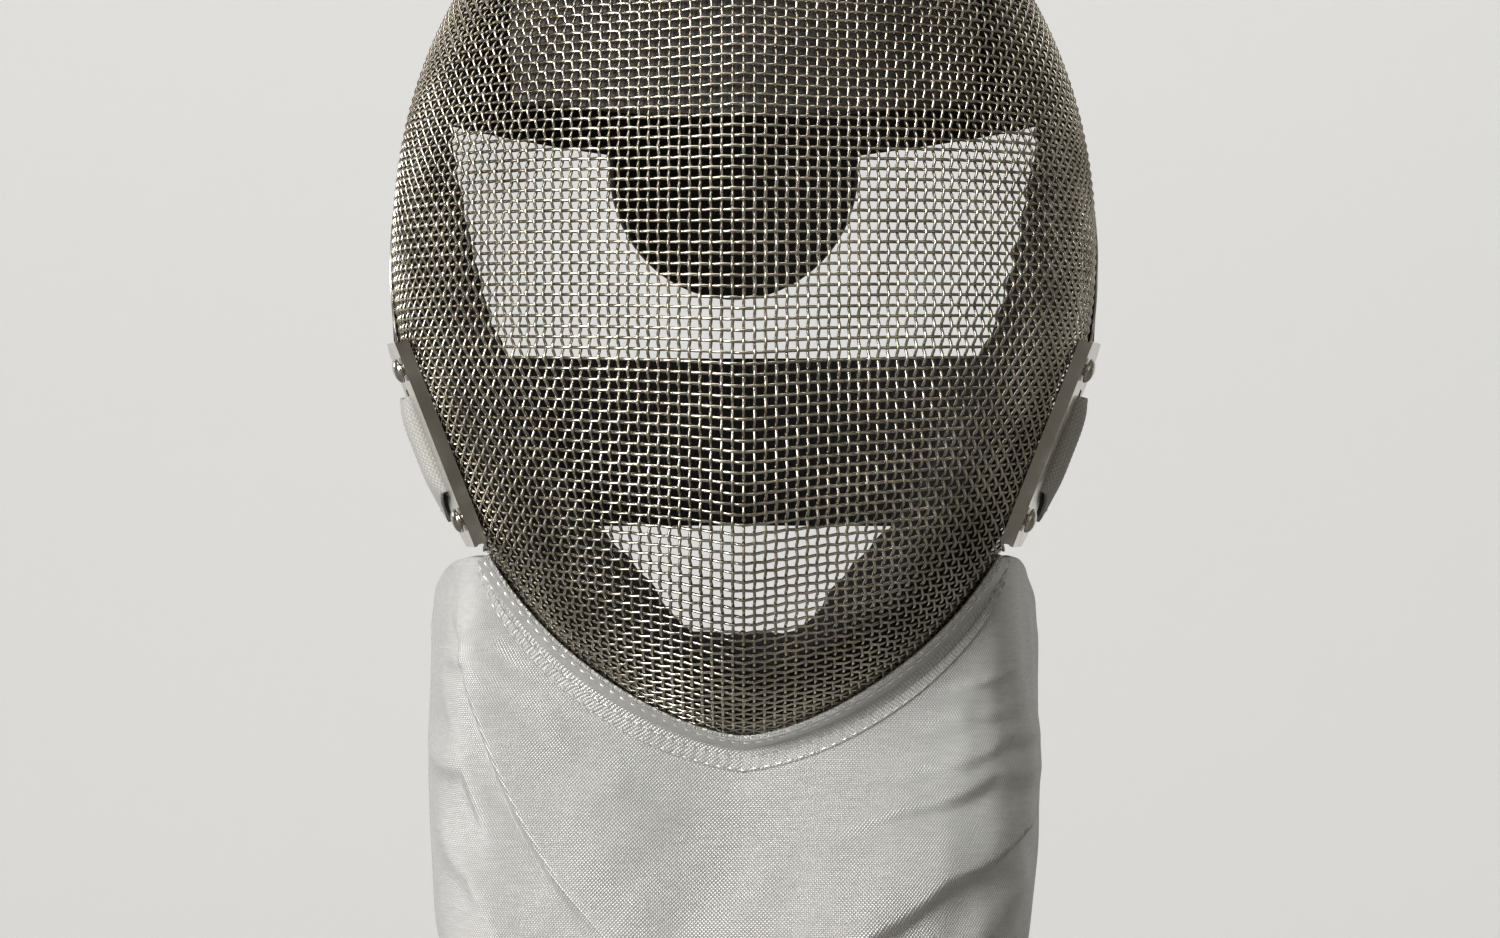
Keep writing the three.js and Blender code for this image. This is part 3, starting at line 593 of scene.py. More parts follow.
def bracketFrame(side):
    def spot(x, z):
        share = 1 - (x / halfWidthAt(np.array(z))) ** 2
        return np.array([x, -dome["foreDepth"] * depthShareAt(np.array(z)) * math.sqrt(share), z])
    top, foot = spot(*bracket["top"]), spot(*bracket["foot"])
    length = np.linalg.norm(top - foot)
    along = (top - foot) / length
    middle = (top + foot) / 2
    _, normal = domeAt(unit(middle + np.array([0, 22.0, 0]) - domeMiddle))
    across = unit(np.cross(along, normal))
    across *= 1 if across[1] > 0 else -1
    out = unit(np.cross(along, across))
    out *= 1 if out[0] > 0 else -1
    slant = -across[2] / along[2]
    mirror = np.array([side, 1, 1])
    across, out, middle = across * mirror, out * mirror, middle * mirror
    return {"middle": middle, "across": across, "out": out, "along": np.cross(out, across),
            "length": length, "slant": slant * side}


def inBracket(place, across, along, out):
    across, along, out = (np.asarray(v, float)[..., None] for v in (across, along, out))
    return place["middle"] + place["across"] * across + place["along"] * along + place["out"] * out


def makeRivets(name, place):
    up = 1 if place["along"][2] > 0 else -1
    base = bracket["standOff"] + bracket["wall"]
    angles = np.linspace(0, math.pi / 2, 9)
    radii = np.concatenate([[bracket["shank"], bracket["shank"], bracket["rivetRadius"] - 0.2],
                            bracket["rivetRadius"] * np.cos(angles[:-1])])
    rises = np.concatenate([[-2.4, 0.4, 0.4], 0.7 + bracket["rivetDome"] * np.sin(angles[:-1])])
    around = np.linspace(0, 2 * math.pi, 25)[:-1]
    heads = []
    for level, end in (("upper", 1), ("lower", -1)):
        centre = up * end * (place["length"] / 2 - bracket["rivetEnd"]) + place["slant"] * bracket["rivetSet"]
        across = bracket["rivetSet"] + radii[:, None] * np.cos(around)
        along = centre + radii[:, None] * np.sin(around)
        grid = inBracket(place, across, along, base + rises[:, None] + 0 * across)
        heads.append(sweepPiece(f"rivet_head_{name}_{level}", grid, "polished_steel",
                                [f"rivet_{name}_{level}"], 50))
    return heads


def makeLoop(name, place):
    bar = bracket["width"] - bracket["slotBack"]
    up = 1 if place["along"][2] > 0 else -1
    middle = bracket["standOff"] + bracket["wall"] / 2
    outside, inside = smoothLoop(loopOutside), smoothLoop(loopInside)
    width = np.linspace(-0.5, 0.5, 65) * bracket["loopWidth"]
    ribs = bracket["ribDepth"] * np.abs(np.sin(math.pi * width / bracket["rib"]))
    centre = place["slant"] * bar
    walls = []
    for outline, grow in ((outside, 1), (inside, 0)):
        ahead = np.roll(outline, -1, axis=0) - np.roll(outline, 1, axis=0)
        normal = unit(np.stack([-ahead[:, 1], ahead[:, 0]], axis=-1))
        pushed = outline[None] + normal[None] * (grow * ribs)[:, None, None]
        ends = np.abs(width / width[-1])[:, None] ** 4
        pushed[..., 1] *= np.where(pushed[..., 1] > 0, 1 - bracket["loopTaper"] * ends, 1)
        tail = np.clip(pushed[..., 0] / bracket["loopTail"], 0, 1)
        reach = np.abs(width[:, None]) / (bracket["loopWidth"] / 2)
        flare = np.where(up * width[:, None] > 0, bracket["flareUp"], bracket["flareDown"])
        along = centre + width[:, None] + np.sign(width[:, None]) * flare * tail * reach
        walls.append(inBracket(place, bar + pushed[..., 0], along, middle + pushed[..., 1]))
    rows, columns = walls[0].shape[:2]
    back = rows * columns
    j = np.arange(columns)
    k = (j + 1) % columns
    last = (rows - 1) * columns
    caps = [np.stack([k, j, back + j, back + k], axis=-1),
            last + np.stack([j, k, back + k, back + j], axis=-1)]
    skin = gridFaces(rows, columns, closed=True)
    faces = [skin, back + skin[:, ::-1], *caps]
    points = np.concatenate([w.reshape(-1, 3) for w in walls])
    uv = np.concatenate([gridLengths(w).reshape(-1, 2) for w in walls])
    return addPiece(f"elastic_loop_{name}", points, faces, "grey_elastic", [f"strap_loop_{name}"], uv, 60)


strap = {"half": 96.0, "turn": 9, "frontY": 14.0, "backY": 112.0, "midZ": -181.5, "endZ": -189.0,
         "height": 56.0, "endHeight": 28.0, "wall": 2.2}


def makeStrap(places):
    high = np.concatenate([np.linspace(0, 1, 29), np.linspace(1, 0, 29)])
    outward = np.concatenate([np.zeros(29), np.ones(29)])
    rounding = 1 - np.abs(2 * high - 1) ** 8 * 0.35
    depth = 0.5 + (outward - 0.5) * rounding

    def seat(place):
        bar = bracket["width"] - bracket["slotBack"]
        up = 1 if place["along"][2] > 0 else -1
        level = place["slant"] * bar + up * strap["endHeight"] * (high - 0.5)
        out = bracket["standOff"] + bracket["wall"] / 2 + strap["wall"] * (depth - 0.5)
        return inBracket(place, bar + bracket["loopTail"] + dome["gap"] + 0 * high, level, out)

    angle = np.linspace(strap["turn"], 180 - strap["turn"], 121)[:, None] * degree
    full = smoothstep(np.sin(angle), 0.02, 0.62)
    height = strap["endHeight"] + (strap["height"] - strap["endHeight"]) * full
    middle = strap["endZ"] + (strap["midZ"] - strap["endZ"]) * full
    grow = depth * strap["wall"]
    x = (strap["half"] + grow) * np.cos(angle)
    y = strap["frontY"] + (strap["backY"] - strap["frontY"] + grow) * np.sin(angle)
    grid = np.stack([x, y, middle + height * (high - 0.5)], axis=-1)
    sections = np.concatenate([seat(places["right"])[None], grid, seat(places["left"])[None]])
    return sweepPiece("elastic_head_strap", sections, "black_elastic", ["back_strap"], 50)


# Bib, its binding, the tape below it and the stitches

bib = {
    "wall": 1.6, "start": 3.7, "topTurn": 136.0, "shift": -3.2, "rows": 131, "columns": 301, "evening": 16,
    # share, out, back, down, hang, hemX, hemY, hemZ
    "hemXColumn": 5,
    "stations": np.array([
        (0, 20, 0, 22, 44, 0, -51, -394), (0.2, 22, 0, 20, 46, 38, -47, -390),
        (0.4, 26, 0, 15, 50, 68, -33, -376), (0.6, 30, 0, 8, 54, 87, -12, -350),
        (0.8, 26, 6, 2, 54, 95, 16, -312), (1, 9, 22, -10, 16, 96.5, 42, -246),
    ], float),
    "halfSpan": 225.0, "fullDrop": 126.0,
    # folds: height, spread above and below the line in mm, then the line by across and drop
    "folds": [
        (4.6, 24, 2.6, [(-0.92, 0.33), (-0.82, 0.26), (-0.7, 0.31), (-0.57, 0.37), (-0.41, 0.46),
                        (-0.23, 0.57), (-0.12, 0.7)]),
        (4.8, 20, 2.6, [(0.08, 0.72), (0.23, 0.58), (0.43, 0.56), (0.63, 0.68), (0.87, 0.94)]),
        (2.6, 11, 4, [(0.09, 0.25), (0.39, 0.32), (0.61, 0.45), (0.89, 0.94)]),
        (1.7, 7, 3, [(0.23, 0.14), (0.46, 0.26), (0.68, 0.43), (0.88, 0.85)]),
        (1.1, 4, 2.6, [(0.4, 0.1), (0.58, 0.2), (0.72, 0.4), (0.85, 0.62)]),
        (0.8, 3, 2.2, [(0.5, 0.08), (0.64, 0.15), (0.76, 0.3), (0.84, 0.46)]),
        (1.8, 8, 4, [(0.36, 0.78), (0.57, 0.78), (0.74, 0.92)]),
        (1.3, 5, 4, [(-0.89, 0.55), (-0.77, 0.25), (-0.55, 0.19), (-0.4, 0.2)]),
        (1.0, 4, 3, [(-0.8, 0.16), (-0.61, 0.1), (-0.42, 0.1)]),
        (1.5, 7, 4, [(-0.92, 0.94), (-0.65, 0.5), (-0.5, 0.56)]),
        (1.4, 7, 5, [(-0.78, 0.84), (-0.57, 0.7), (-0.4, 0.74)]),
        (0.9, 16, 20, [(-0.34, 0.1), (-0.3, 0.25), (-0.24, 0.4), (-0.2, 0.6)]),
        (0.7, 6, 6, [(-0.3, 0.13), (-0.05, 0.15), (0.2, 0.12)]),
    ],
    "wave": 0.35, "pucker": 0.12, "ripple": 0.1,
    "bindingTurn": 136.5, "bindingReach": 7.5, "bindingWall": 1.6,
    # tape sewn along the bib below the band: from drop, to drop, thickness
    "tape": (0.05, 0.084, 0.8),
    # wide band over the binding and the seam: run and rise on the edge, then drop and lift on the bib
    "bandOnEdge": [(-7.3, 0.2), (-5.0, 0.35), (-2.0, 0.4), (0.8, 0.35)],
    "bandOnBib": [(0.031, 2.0), (0.039, 1.7), (0.046, 1.5), (0.052, 1.2)],
    "bandWall": 0.25,
    "stitch": 2.6, "stitchGap": 1.1, "stitchRadius": 0.28,
}


def stationAt(share, column):  # smooth through the stations, mirrored at the middle of the bib
    rows = bib["stations"]
    steps = len(rows) - 1
    low = np.minimum(np.floor(share * steps).astype(int), steps - 1)
    t = share * steps - low
    before, here, after, last = (rows[np.clip(low + k, 0, steps), column] for k in (-1, 0, 1, 2))
    mirrored = rows[1, column] * (-1 if column == bib["hemXColumn"] else 1)
    return curveBetween(np.where(low == 0, mirrored, before), here, after, last, t)


def foldRise(across, drop):
    scale = np.array([bib["halfSpan"], bib["fullDrop"]])
    place = np.stack(np.broadcast_arrays(across, drop), axis=-1) * scale
    rise = np.zeros(place.shape[:-1])
    for height, above, below, line in bib["folds"]:
        line = np.array(line) * scale
        nearest = np.full(rise.shape, np.inf)
        under = np.zeros(rise.shape, bool)
        share = np.zeros(rise.shape)
        for k, (a, b) in enumerate(zip(line[:-1], line[1:])):
            ahead = b - a
            t = np.clip((place - a) @ ahead / (ahead @ ahead), 0, 1)
            off = place - a - t[..., None] * ahead
            away = np.linalg.norm(off, axis=-1)
            closer = away < nearest
            nearest = np.where(closer, away, nearest)
            under = np.where(closer, ahead[0] * off[..., 1] - ahead[1] * off[..., 0] > 0, under)
            share = np.where(closer, (k + t) / (len(line) - 1), share)
        held = smoothstep(share, 0, 0.3) * (1 - smoothstep(share, 0.7, 1))
        rise += height * held * np.exp(-(nearest / np.where(under, below, above)) ** 2)
    return rise * smoothstep(drop, 0.07, 0.16)


def alongBib(normal, side):  # evened out along the bib, so that the ridge leaves no crease in it
    reach = bib["evening"]
    weights = np.exp(-(np.arange(-2 * reach, 2 * reach + 1) / reach) ** 2)
    mirrored = normal * np.stack([side, 0 * side + 1, 0 * side + 1], axis=-1)
    padded = np.pad(mirrored, ((2 * reach, 2 * reach), (0, 0)), mode="edge")
    weights /= weights.sum()
    even = np.stack([np.convolve(padded[:, c], weights, mode="valid") for c in range(3)], axis=-1)
    even[:, 0] *= side
    return unit(even)


def bibGrid():
    across = np.linspace(-1, 1, bib["columns"])[None, :]
    drop = np.linspace(0, 1, bib["rows"])[:, None]
    share = np.abs(across[0])
    side = np.where(across < 0, -1, 1)
    turn = 180 - share * (180 - bib["topTurn"])
    start = edgePoint(turn, bib["start"], 0.0)
    ahead = unit(edgePoint(turn, bib["start"] + 1, 0.0) - start)
    _, normal = domeAt(unit(start - domeMiddle))
    normal = alongBib(normal, side[0])
    first = start + normal * stationAt(share, 1)[:, None] + ahead * stationAt(share, 2)[:, None]
    first[:, 2] -= stationAt(share, 3)
    hem = np.stack([stationAt(share, c) for c in (5, 6, 7)], axis=-1)
    second = hem.copy()
    second[:, 2] += stationAt(share, 4)
    t = drop[..., None]
    grid = (start * (1 - t) ** 3 + 3 * first * t * (1 - t) ** 2 + 3 * second * t * t * (1 - t) + hem * t ** 3)
    grid[..., 0] = grid[..., 0] * side + bib["shift"] * smoothstep(drop, 0, 0.5)
    return grid, across, drop


def gridNormals(grid):
    normal = unit(np.cross(np.gradient(grid, axis=1), np.gradient(grid, axis=0)))
    return -normal


def stitchRow(line, out, length, space, radius):  # short rounded stitches along a line
    steps = np.concatenate([[0], np.cumsum(np.linalg.norm(np.diff(line, axis=0), axis=-1))])
    starts = np.arange(1.0, steps[-1] - length - 1, length + space)
    shares = np.array([0.0, 0.18, 0.5, 0.82, 1.0])
    rounds = np.array([0.35, 0.9, 1.0, 0.9, 0.35])
    lifts = np.array([-0.6, 0.5, 0.8, 0.5, -0.6])
    at = starts[:, None] + shares * length
    spot = np.stack([np.interp(at, steps, line[:, c]) for c in range(3)], axis=-1)
    up = unit(np.stack([np.interp(at, steps, out[:, c]) for c in range(3)], axis=-1))
    ahead = unit(spot[:, -1:] - spot[:, :1]) + 0 * spot
    sideways = unit(np.cross(ahead, up))
    around = np.linspace(0, 2 * math.pi, 7)[:-1]
    ring = sideways[:, :, None] * np.cos(around)[:, None] + up[:, :, None] * np.sin(around)[:, None]
    points = (spot + up * (lifts * radius)[:, None])[:, :, None] + ring * (rounds * radius)[:, None, None]
    body = gridFaces(5, 6, closed=True)
    first = np.arange(len(starts))[:, None, None] * 30
    faces = (body[None] + first).reshape(-1, 4)
    caps = np.concatenate([first[:, 0] + np.arange(6)[::-1], first[:, 0] + 24 + np.arange(6)])
    return points.reshape(-1, 3), faces, caps


def stitchPiece(name, lines, slotName, length, space, radius):
    points, quads, caps, first = [], [], [], 0
    for line, out in lines:
        p, f, c = stitchRow(line, out, length, space, radius)
        points.append(p)
        quads.append(f + first)
        caps.append(c + first)
        first += len(p)
    return addPiece(name, np.concatenate(points), [np.concatenate(quads), np.concatenate(caps)], slotName)


def onBib(grid, level):  # rows of the bib at a drop, between the rows of its grid
    at = np.asarray(level) * (bib["rows"] - 1)
    row = np.floor(at).astype(int)
    t = (at - row)[..., None, None]
    return grid[row] * (1 - t) + grid[row + 1] * t


def makeBinding():
    turns = turnsBetween(bib["bindingTurn"], 360 - bib["bindingTurn"], 0.5)
    profile = roundedProfile(channelProfile(bib["bindingReach"], bib["bindingWall"]), 0.7)
    sections = np.stack([edgePoint(turns, run, rise) for run, rise in profile], axis=1)
    pucker = bib["pucker"] * np.sin(turns * 9.0)[:, None, None]
    outward = unit(sections - sections.mean(axis=1, keepdims=True))
    sections = sections + outward * pucker
    return sweepPiece("bib_edge_binding", sections, "metallic_cloth", ["bib_binding"], 60)


def makeTopBand(middle, normal, across):
    top = dome["wall"] / 2 + dome["gap"] + bib["bindingWall"]
    share = np.abs(across)
    mirror = np.stack([np.where(across < 0, -1, 1), 0 * share + 1, 0 * share + 1], axis=-1)
    turn = 180 - share * (180 - bib["topTurn"])
    lines = [edgePoint(turn, run, top + rise) * mirror for run, rise in bib["bandOnEdge"]]
    for level, lift in bib["bandOnBib"]:
        lines.append(onBib(middle, level) + normal[int(level * (bib["rows"] - 1))] * lift)
    band = openCurve(np.array(lines), 4)[:, 2:-2]
    column = np.arange(band.shape[1])
    pucker = bib["pucker"] * np.sin(column * 1.9) * np.sin(column * 0.23)
    out = gridNormals(band)
    band = band + out * (pucker[None, :] * np.linspace(0, 1, len(band))[:, None])[..., None]
    piece = wallPiece("bib_top_band", band, band - out * bib["bandWall"], "metallic_cloth", (), 60)
    return piece, [(band[row], out[row]) for row in (3, len(band) - 5)]


def makeTape(middle, normal):
    low, high, thick = bib["tape"]
    half = bib["wall"] / 2
    along = np.linspace(0, 1, 13)
    levels = low + (high - low) * along
    band = onBib(middle, levels)[:, 6:-6]
    lift = unit(onBib(normal, levels))[:, 6:-6]
    shape = np.sqrt(np.clip(1 - (2 * along - 1) ** 12, 0, 1))[:, None, None]
    ripple = bib["ripple"] * np.sin(np.arange(band.shape[1]) * 1.3)[None, :, None]
    outer = band + lift * (half + 0.2 + (thick + ripple) * shape)
    piece = wallPiece("bib_seam_tape_1", outer, band + lift * (half + 0.1), "metallic_cloth", (), 60)
    return piece, [(outer[10], lift[10])]


def makeBib():
    grid, across, drop = bibGrid()
    ripples = np.sin(37 * across + 9 * drop) * np.sin(11 * drop + 3 * across) * smoothstep(drop, 0.1, 0.4)
    middle = grid + gridNormals(grid) * (foldRise(across, drop) + bib["wave"] * ripples)[..., None]
    normal = gridNormals(middle)
    thick = normal * bib["wall"] / 2
    lengths = gridLengths(middle)
    grain = np.stack([lengths[..., 0], -middle[..., 2]], axis=-1)  # the cloth's threads run level
    cloth = wallPiece("bib_cloth", middle + thick, middle - thick, "metallic_cloth", ["bib"], 60, grain)
    binding = makeBinding()
    band, bandLines = makeTopBand(middle, normal, across[0])
    tape, tapeLines = makeTape(middle, normal)
    stitches = stitchPiece("bib_stitches", bandLines + tapeLines, "metallic_cloth",
                           bib["stitch"], bib["stitchGap"], bib["stitchRadius"])
    return cloth, binding, stitches, band, tape


# Materials

def nodeGroup(name, inputs, outputs):
    group = bpy.data.node_groups.new(name, "ShaderNodeTree")
    for label, kind, value in inputs:
        socket = group.interface.new_socket(label, in_out="INPUT", socket_type=kind)
        if value is not None:
            socket.default_value = value
    for label, kind in outputs:
        group.interface.new_socket(label, in_out="OUTPUT", socket_type=kind)
    return group, group.nodes.new("NodeGroupInput"), group.nodes.new("NodeGroupOutput")


def mathNode(tree, kind, a, b=None, c=None):
    node = tree.nodes.new("ShaderNodeMath")
    node.operation = kind
    for k, value in enumerate((a, b, c)):
        if value is None:
            continue
        if isinstance(value, (int, float)):
            node.inputs[k].default_value = value
        else:
            tree.links.new(value, node.inputs[k])
    return node.outputs[0]


def makeWeaveGroup():  # plain weave from the cloth's own coordinates in metres
    group, gin, gout = nodeGroup(
        "plainWeave",
        [("Place", "NodeSocketVector", None), ("Threads Across", "NodeSocketFloat", 1800.0),
         ("Threads Down", "NodeSocketFloat", 1800.0), ("Streaks", "NodeSocketFloat", 0.5)],
        [("Height", "NodeSocketFloat"), ("Thread", "NodeSocketFloat"), ("Streak", "NodeSocketFloat")])
    split = group.nodes.new("ShaderNodeSeparateXYZ")
    group.links.new(gin.outputs["Place"], split.inputs[0])
    u = mathNode(group, "MULTIPLY", split.outputs[0], gin.outputs["Threads Across"])
    v = mathNode(group, "MULTIPLY", split.outputs[1], gin.outputs["Threads Down"])
    su = mathNode(group, "SINE", mathNode(group, "MULTIPLY", u, math.pi))
    sv = mathNode(group, "SINE", mathNode(group, "MULTIPLY", v, math.pi))
    cross = mathNode(group, "MULTIPLY", su, sv)
    tops = mathNode(group, "MAXIMUM", mathNode(group, "ABSOLUTE", su), mathNode(group, "ABSOLUTE", sv))
    height = mathNode(group, "ADD", mathNode(group, "MULTIPLY", cross, 0.35),
                      mathNode(group, "MULTIPLY", tops, 0.5))
    stretch = group.nodes.new("ShaderNodeCombineXYZ")
    group.links.new(mathNode(group, "MULTIPLY", u, 0.07), stretch.inputs[0])
    group.links.new(mathNode(group, "MULTIPLY", v, 0.45), stretch.inputs[1])
    noise = group.nodes.new("ShaderNodeTexNoise")
    noise.inputs["Scale"].default_value = 1.0
    noise.inputs["Detail"].default_value = 3.0
    group.links.new(stretch.outputs[0], noise.inputs["Vector"])
    uneven = mathNode(group, "SUBTRACT", noise.outputs["Fac"], 0.5)
    streak = mathNode(group, "MULTIPLY", uneven, gin.outputs["Streaks"])
    group.links.new(height, gout.inputs["Height"])
    thread = mathNode(group, "ADD", mathNode(group, "MULTIPLY", cross, 0.5), 0.5)
    group.links.new(thread, gout.inputs["Thread"])
    group.links.new(streak, gout.inputs["Streak"])
    return group


def makeMottleGroup():  # slow uneven patches, for tarnish, handling and lint
    group, gin, gout = nodeGroup(
        "mottle",
        [("Place", "NodeSocketVector", None), ("Scale", "NodeSocketFloat", 40.0),
         ("Low", "NodeSocketFloat", 0.0), ("High", "NodeSocketFloat", 1.0)],
        [("Value", "NodeSocketFloat")])
    noise = group.nodes.new("ShaderNodeTexNoise")
    noise.inputs["Detail"].default_value = 5.0
    group.links.new(gin.outputs["Place"], noise.inputs["Vector"])
    group.links.new(gin.outputs["Scale"], noise.inputs["Scale"])
    span = group.nodes.new("ShaderNodeMapRange")
    span.inputs["From Min"].default_value = 0.3
    span.inputs["From Max"].default_value = 0.7
    group.links.new(noise.outputs["Fac"], span.inputs["Value"])
    group.links.new(gin.outputs["Low"], span.inputs["To Min"])
    group.links.new(gin.outputs["High"], span.inputs["To Max"])
    group.links.new(span.outputs["Result"], gout.inputs["Value"])
    return group


def placeGroup(material, group, values, links=()):
    node = material.node_tree.nodes.new("ShaderNodeGroup")
    node.node_tree = group
    for label, value in values.items():
        node.inputs[label].default_value = value
    for label, socket in links:
        material.node_tree.links.new(socket, node.inputs[label])
    return node


def newMaterial(name, roughness, metallic=0.0, sheen=0.0, specular=0.5):
    material = bpy.data.materials.new(name)
    material.use_nodes = True
    shader = material.node_tree.nodes["Principled BSDF"]
    shader.inputs["Roughness"].default_value = roughness
    shader.inputs["Metallic"].default_value = metallic
    shader.inputs["Sheen Weight"].default_value = sheen
    shader.inputs["Specular IOR Level"].default_value = specular
    return material, material.node_tree, shader


def coordinates(tree, cloth):
    if cloth:
        node = tree.nodes.new("ShaderNodeUVMap")
        node.uv_map = "cloth"
        return node.outputs["UV"]
    return tree.nodes.new("ShaderNodeTexCoord").outputs["Object"]


def blendColours(tree, shader, share, low, high):
    mix = tree.nodes.new("ShaderNodeMix")
    mix.data_type = "RGBA"
    mix.inputs[6].default_value = (*low, 1)
    mix.inputs[7].default_value = (*high, 1)
    tree.links.new(share, mix.inputs[0])
    tree.links.new(mix.outputs[2], shader.inputs["Base Color"])


def bumpFrom(tree, shader, height, distance, strength=1.0):
    bump = tree.nodes.new("ShaderNodeBump")
    bump.inputs["Distance"].default_value = distance
    bump.inputs["Strength"].default_value = strength
    tree.links.new(height, bump.inputs["Height"])
    tree.links.new(bump.outputs["Normal"], shader.inputs["Normal"])


finish = {
    "wireLow": (0.36, 0.325, 0.265), "wireHigh": (0.66, 0.615, 0.52), "wireRough": (0.15, 0.3),
    "steelLow": (0.44, 0.41, 0.35), "steelHigh": (0.68, 0.65, 0.585),
    "blackLow": (0.004, 0.0035, 0.003), "blackHigh": (0.014, 0.012, 0.010),
    "feltLow": (0.045, 0.042, 0.038), "feltHigh": (0.13, 0.125, 0.115),
    "greyLow": (0.34, 0.33, 0.30), "greyHigh": (0.56, 0.55, 0.52),
    "lameLow": (0.36, 0.355, 0.34), "lameHigh": (0.97, 0.965, 0.94),
}


# key, name, roughness, sheen, specular, threads a metre across and down, colours, depth of the weave
woven = [
    ("black", "black_cloth", 0.85, 0.08, 0.25, 1400.0, 1400.0, "black", 0.0002),
    ("elastic", "black_elastic", 0.8, 0.1, 0.3, 260.0, 1100.0, "black", 0.0005),
    ("loop", "grey_elastic", 0.75, 0.15, 0.3, 1300.0, 1250.0, "grey", 0.0002),
]


def makeMaterials():
    weave, mottle = makeWeaveGroup(), makeMottleGroup()
    looks = {}

    material, tree, shader = newMaterial("nickel_wire", 0.3, 1.0)
    place = coordinates(tree, False)
    patch = placeGroup(material, mottle, {"Scale": 55.0, "Low": 0.0, "High": 1.0}, [("Place", place)])
    rough = placeGroup(material, mottle, {"Scale": 900.0, "Low": finish["wireRough"][0],
                                          "High": finish["wireRough"][1]}, [("Place", place)])
    blendColours(tree, shader, patch.outputs["Value"], finish["wireLow"], finish["wireHigh"])
    tree.links.new(rough.outputs["Value"], shader.inputs["Roughness"])
    looks["wire"] = material

    material, tree, shader = newMaterial("polished_steel", 0.15, 1.0)
    place = coordinates(tree, False)
    patch = placeGroup(material, mottle, {"Scale": 120.0, "Low": 0.1, "High": 0.26}, [("Place", place)])
    shade = placeGroup(material, mottle, {"Scale": 30.0}, [("Place", place)])
    blendColours(tree, shader, shade.outputs["Value"], finish["steelLow"], finish["steelHigh"])
    tree.links.new(patch.outputs["Value"], shader.inputs["Roughness"])
    looks["steel"] = material

    for key, name, roughness, sheen, specular, across, down, colour, depth in woven:
        material, tree, shader = newMaterial(name, roughness, sheen=sheen, specular=specular)
        cloth = placeGroup(material, weave, {"Threads Across": across, "Threads Down": down},
                           [("Place", coordinates(tree, True))])
        blendColours(tree, shader, cloth.outputs["Thread"], finish[colour + "Low"], finish[colour + "High"])
        bumpFrom(tree, shader, cloth.outputs["Height"], depth)
        looks[key] = material

    material, tree, shader = newMaterial("grey_felt", 0.95, sheen=0.2, specular=0.2)
    place = coordinates(tree, False)
    fine = placeGroup(material, mottle, {"Scale": 1500.0}, [("Place", place)])
    blendColours(tree, shader, fine.outputs["Value"], finish["feltLow"], finish["feltHigh"])
    bumpFrom(tree, shader, fine.outputs["Value"], 0.0006)
    looks["felt"] = material

    material, tree, shader = newMaterial("metallic_cloth", 0.42, 0.6, sheen=0.1)
    cloth = placeGroup(material, weave, {"Threads Across": 1650.0, "Threads Down": 1650.0, "Streaks": 0.35},
                       [("Place", coordinates(tree, True))])
    share = mathNode(tree, "MULTIPLY", cloth.outputs["Thread"], 0.8)
    share = mathNode(tree, "ADD", mathNode(tree, "ADD", share, cloth.outputs["Streak"]), 0.1)
    blendColours(tree, shader, share, finish["lameLow"], finish["lameHigh"])
    bumpFrom(tree, shader, cloth.outputs["Height"], 0.00032)
    looks["lame"] = material
    return looks


# Room, light and camera

room = {"floorZ": -0.62, "wallY": 3.4, "half": 4.5, "bend": 0.9, "front": -4.5,
        "colour": (0.80, 0.80, 0.79), "glow": 0.30, "world": 0.17,
        "dark": (0.22, 0.22, 0.215), "darkY": (0.6, 2.2)}
lamps = [
    {"name": "key_light", "at": (-1.55, -1.9, 0.42), "size": 1.0, "power": 62, "colour": (1.0, 1.0, 1.0)},
    {"name": "top_light", "at": (-0.3, -0.5, 1.7), "size": 1.2, "power": 14, "colour": (1.0, 0.98, 0.95)},
    {"name": "fill_light", "at": (1.6, -1.9, 0.2), "size": 1.6, "power": 4, "colour": (1.0, 0.9, 0.76)},
    {"name": "left_card", "at": (-1.75, -1.45, -0.15), "size": 0.9, "power": 6, "colour": (1.0, 0.98, 0.94)},
    {"name": "edge_light", "at": (-1.7, 0.8, 0.2), "size": 0.7, "power": 4, "colour": (1.0, 1.0, 1.0)},
]
view = {"eye": (0.0019, -1.61, -0.1905), "sensor": 36.0, "focalPixels": 5147.0, "widthPixels": 1500.0}


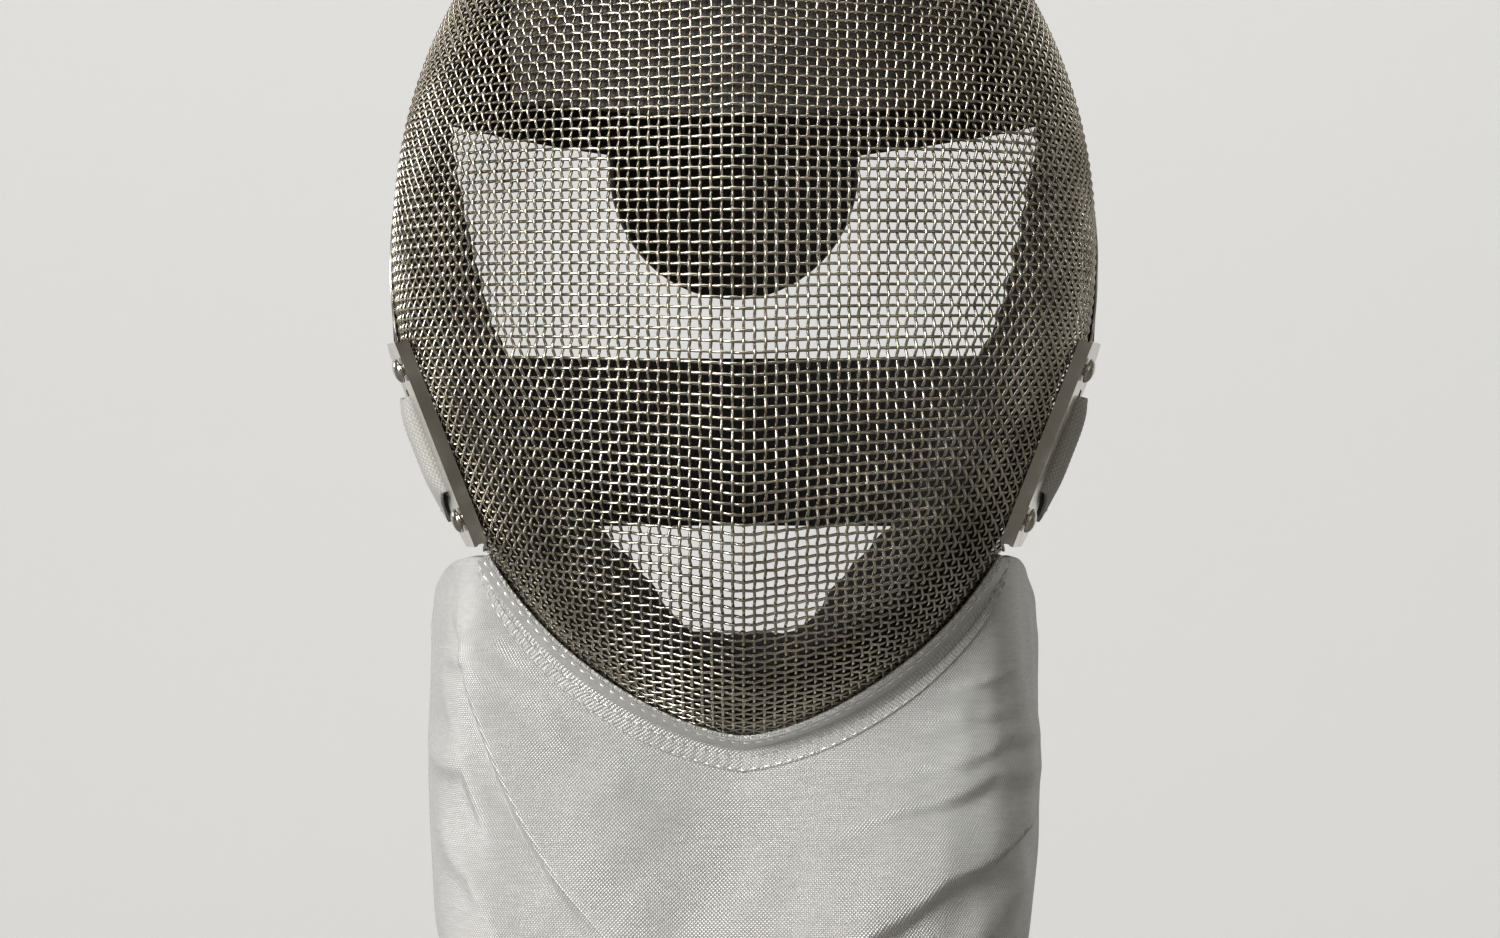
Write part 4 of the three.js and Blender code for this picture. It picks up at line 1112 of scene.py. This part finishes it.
def makeRoom():
    angle = np.linspace(0, math.pi / 2, 17)
    bend = room["bend"]
    curve = [(room["front"], room["floorZ"])]
    for a in angle:
        curve.append((room["wallY"] - bend + bend * math.sin(a), room["floorZ"] + bend - bend * math.cos(a)))
    curve.append((room["wallY"], 4.0))
    points = [(x, y, z) for y, z in curve for x in (-room["half"], room["half"])]
    faces = [(2 * k, 2 * k + 1, 2 * k + 3, 2 * k + 2) for k in range(len(curve) - 1)]
    mesh = bpy.data.meshes.new("backdrop")
    mesh.from_pydata(points, [], faces)
    mesh.shade_smooth()
    backdrop = bpy.data.objects.new("backdrop", mesh)
    bpy.context.scene.collection.objects.link(backdrop)
    material = bpy.data.materials.new("backdrop_paper")
    material.use_nodes = True
    tree = material.node_tree
    shader = tree.nodes["Principled BSDF"]
    split = tree.nodes.new("ShaderNodeSeparateXYZ")
    tree.links.new(coordinates(tree, False), split.inputs[0])
    behind = tree.nodes.new("ShaderNodeMapRange")  # the floor near the mask is darker and throws no light up
    behind.inputs["From Min"].default_value, behind.inputs["From Max"].default_value = room["darkY"]
    tree.links.new(split.outputs[1], behind.inputs["Value"])
    blendColours(tree, shader, behind.outputs["Result"], room["dark"], room["colour"])
    shader.inputs["Roughness"].default_value = 1.0
    shader.inputs["Specular IOR Level"].default_value = 0.0
    shader.inputs["Emission Color"].default_value = (0.98, 0.985, 0.98, 1)
    glow = mathNode(tree, "MULTIPLY", behind.outputs["Result"], room["glow"])
    tree.links.new(glow, shader.inputs["Emission Strength"])
    mesh.materials.append(material)
    world = bpy.data.worlds.new("studio")
    world.use_nodes = True
    world.node_tree.nodes["Background"].inputs[0].default_value = (1.0, 0.95, 0.87, 1)
    world.node_tree.nodes["Background"].inputs[1].default_value = room["world"]
    bpy.context.scene.world = world
    target = Vector((0, 0, -0.18))
    for lamp in lamps:
        light = bpy.data.lights.new(lamp["name"], "AREA")
        light.size = lamp["size"]
        light.energy = lamp["power"]
        light.color = lamp["colour"]
        holder = bpy.data.objects.new(lamp["name"], light)
        holder.location = lamp["at"]
        holder.rotation_euler = (target - holder.location).to_track_quat("-Z", "Y").to_euler()
        bpy.context.scene.collection.objects.link(holder)


def makeCamera():
    lens = bpy.data.cameras.new("camera")
    lens.sensor_width = view["sensor"]
    lens.sensor_fit = "HORIZONTAL"
    lens.lens = view["focalPixels"] / view["widthPixels"] * view["sensor"]
    lens.clip_end = 50
    camera = bpy.data.objects.new("camera", lens)
    camera.location = view["eye"]
    camera.rotation_euler = (math.pi / 2, 0, 0)
    bpy.context.scene.collection.objects.link(camera)
    bpy.context.scene.camera = camera
    bpy.context.scene.view_settings.view_transform = "Standard"


def dress(pieces, material):
    for piece in pieces:
        piece.data.materials.clear()
        piece.data.materials.append(material)


makeRoom()
makeCamera()
looks = makeMaterials()
dress(makeWires(), looks["wire"])
rim, piping = makeEdging()
dress([rim], looks["steel"])
dress([piping, makeRingPad(), makeTongue()], looks["black"])
dress([makeForeheadPad()], looks["felt"])
print("edging and padding made")
sides = {"left": bracketFrame(-1), "right": bracketFrame(1)}
for sideName, place in sides.items():
    dress(makeRivets(sideName, place), looks["steel"])
    dress([makeLoop(sideName, place)], looks["loop"])
    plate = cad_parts[f"bracket_{sideName}"]
    plate.material_slots[0].material = looks["steel"]
    soften = plate.modifiers.new("eased_edges", "BEVEL")
    soften.width = 0.00025
    soften.segments = 2
    soften.limit_method = "ANGLE"
    soften.angle_limit = 40 * degree
dress([makeStrap(sides)], looks["elastic"])
dress(makeBib(), looks["lame"])
print("brackets, elastic and bib made")
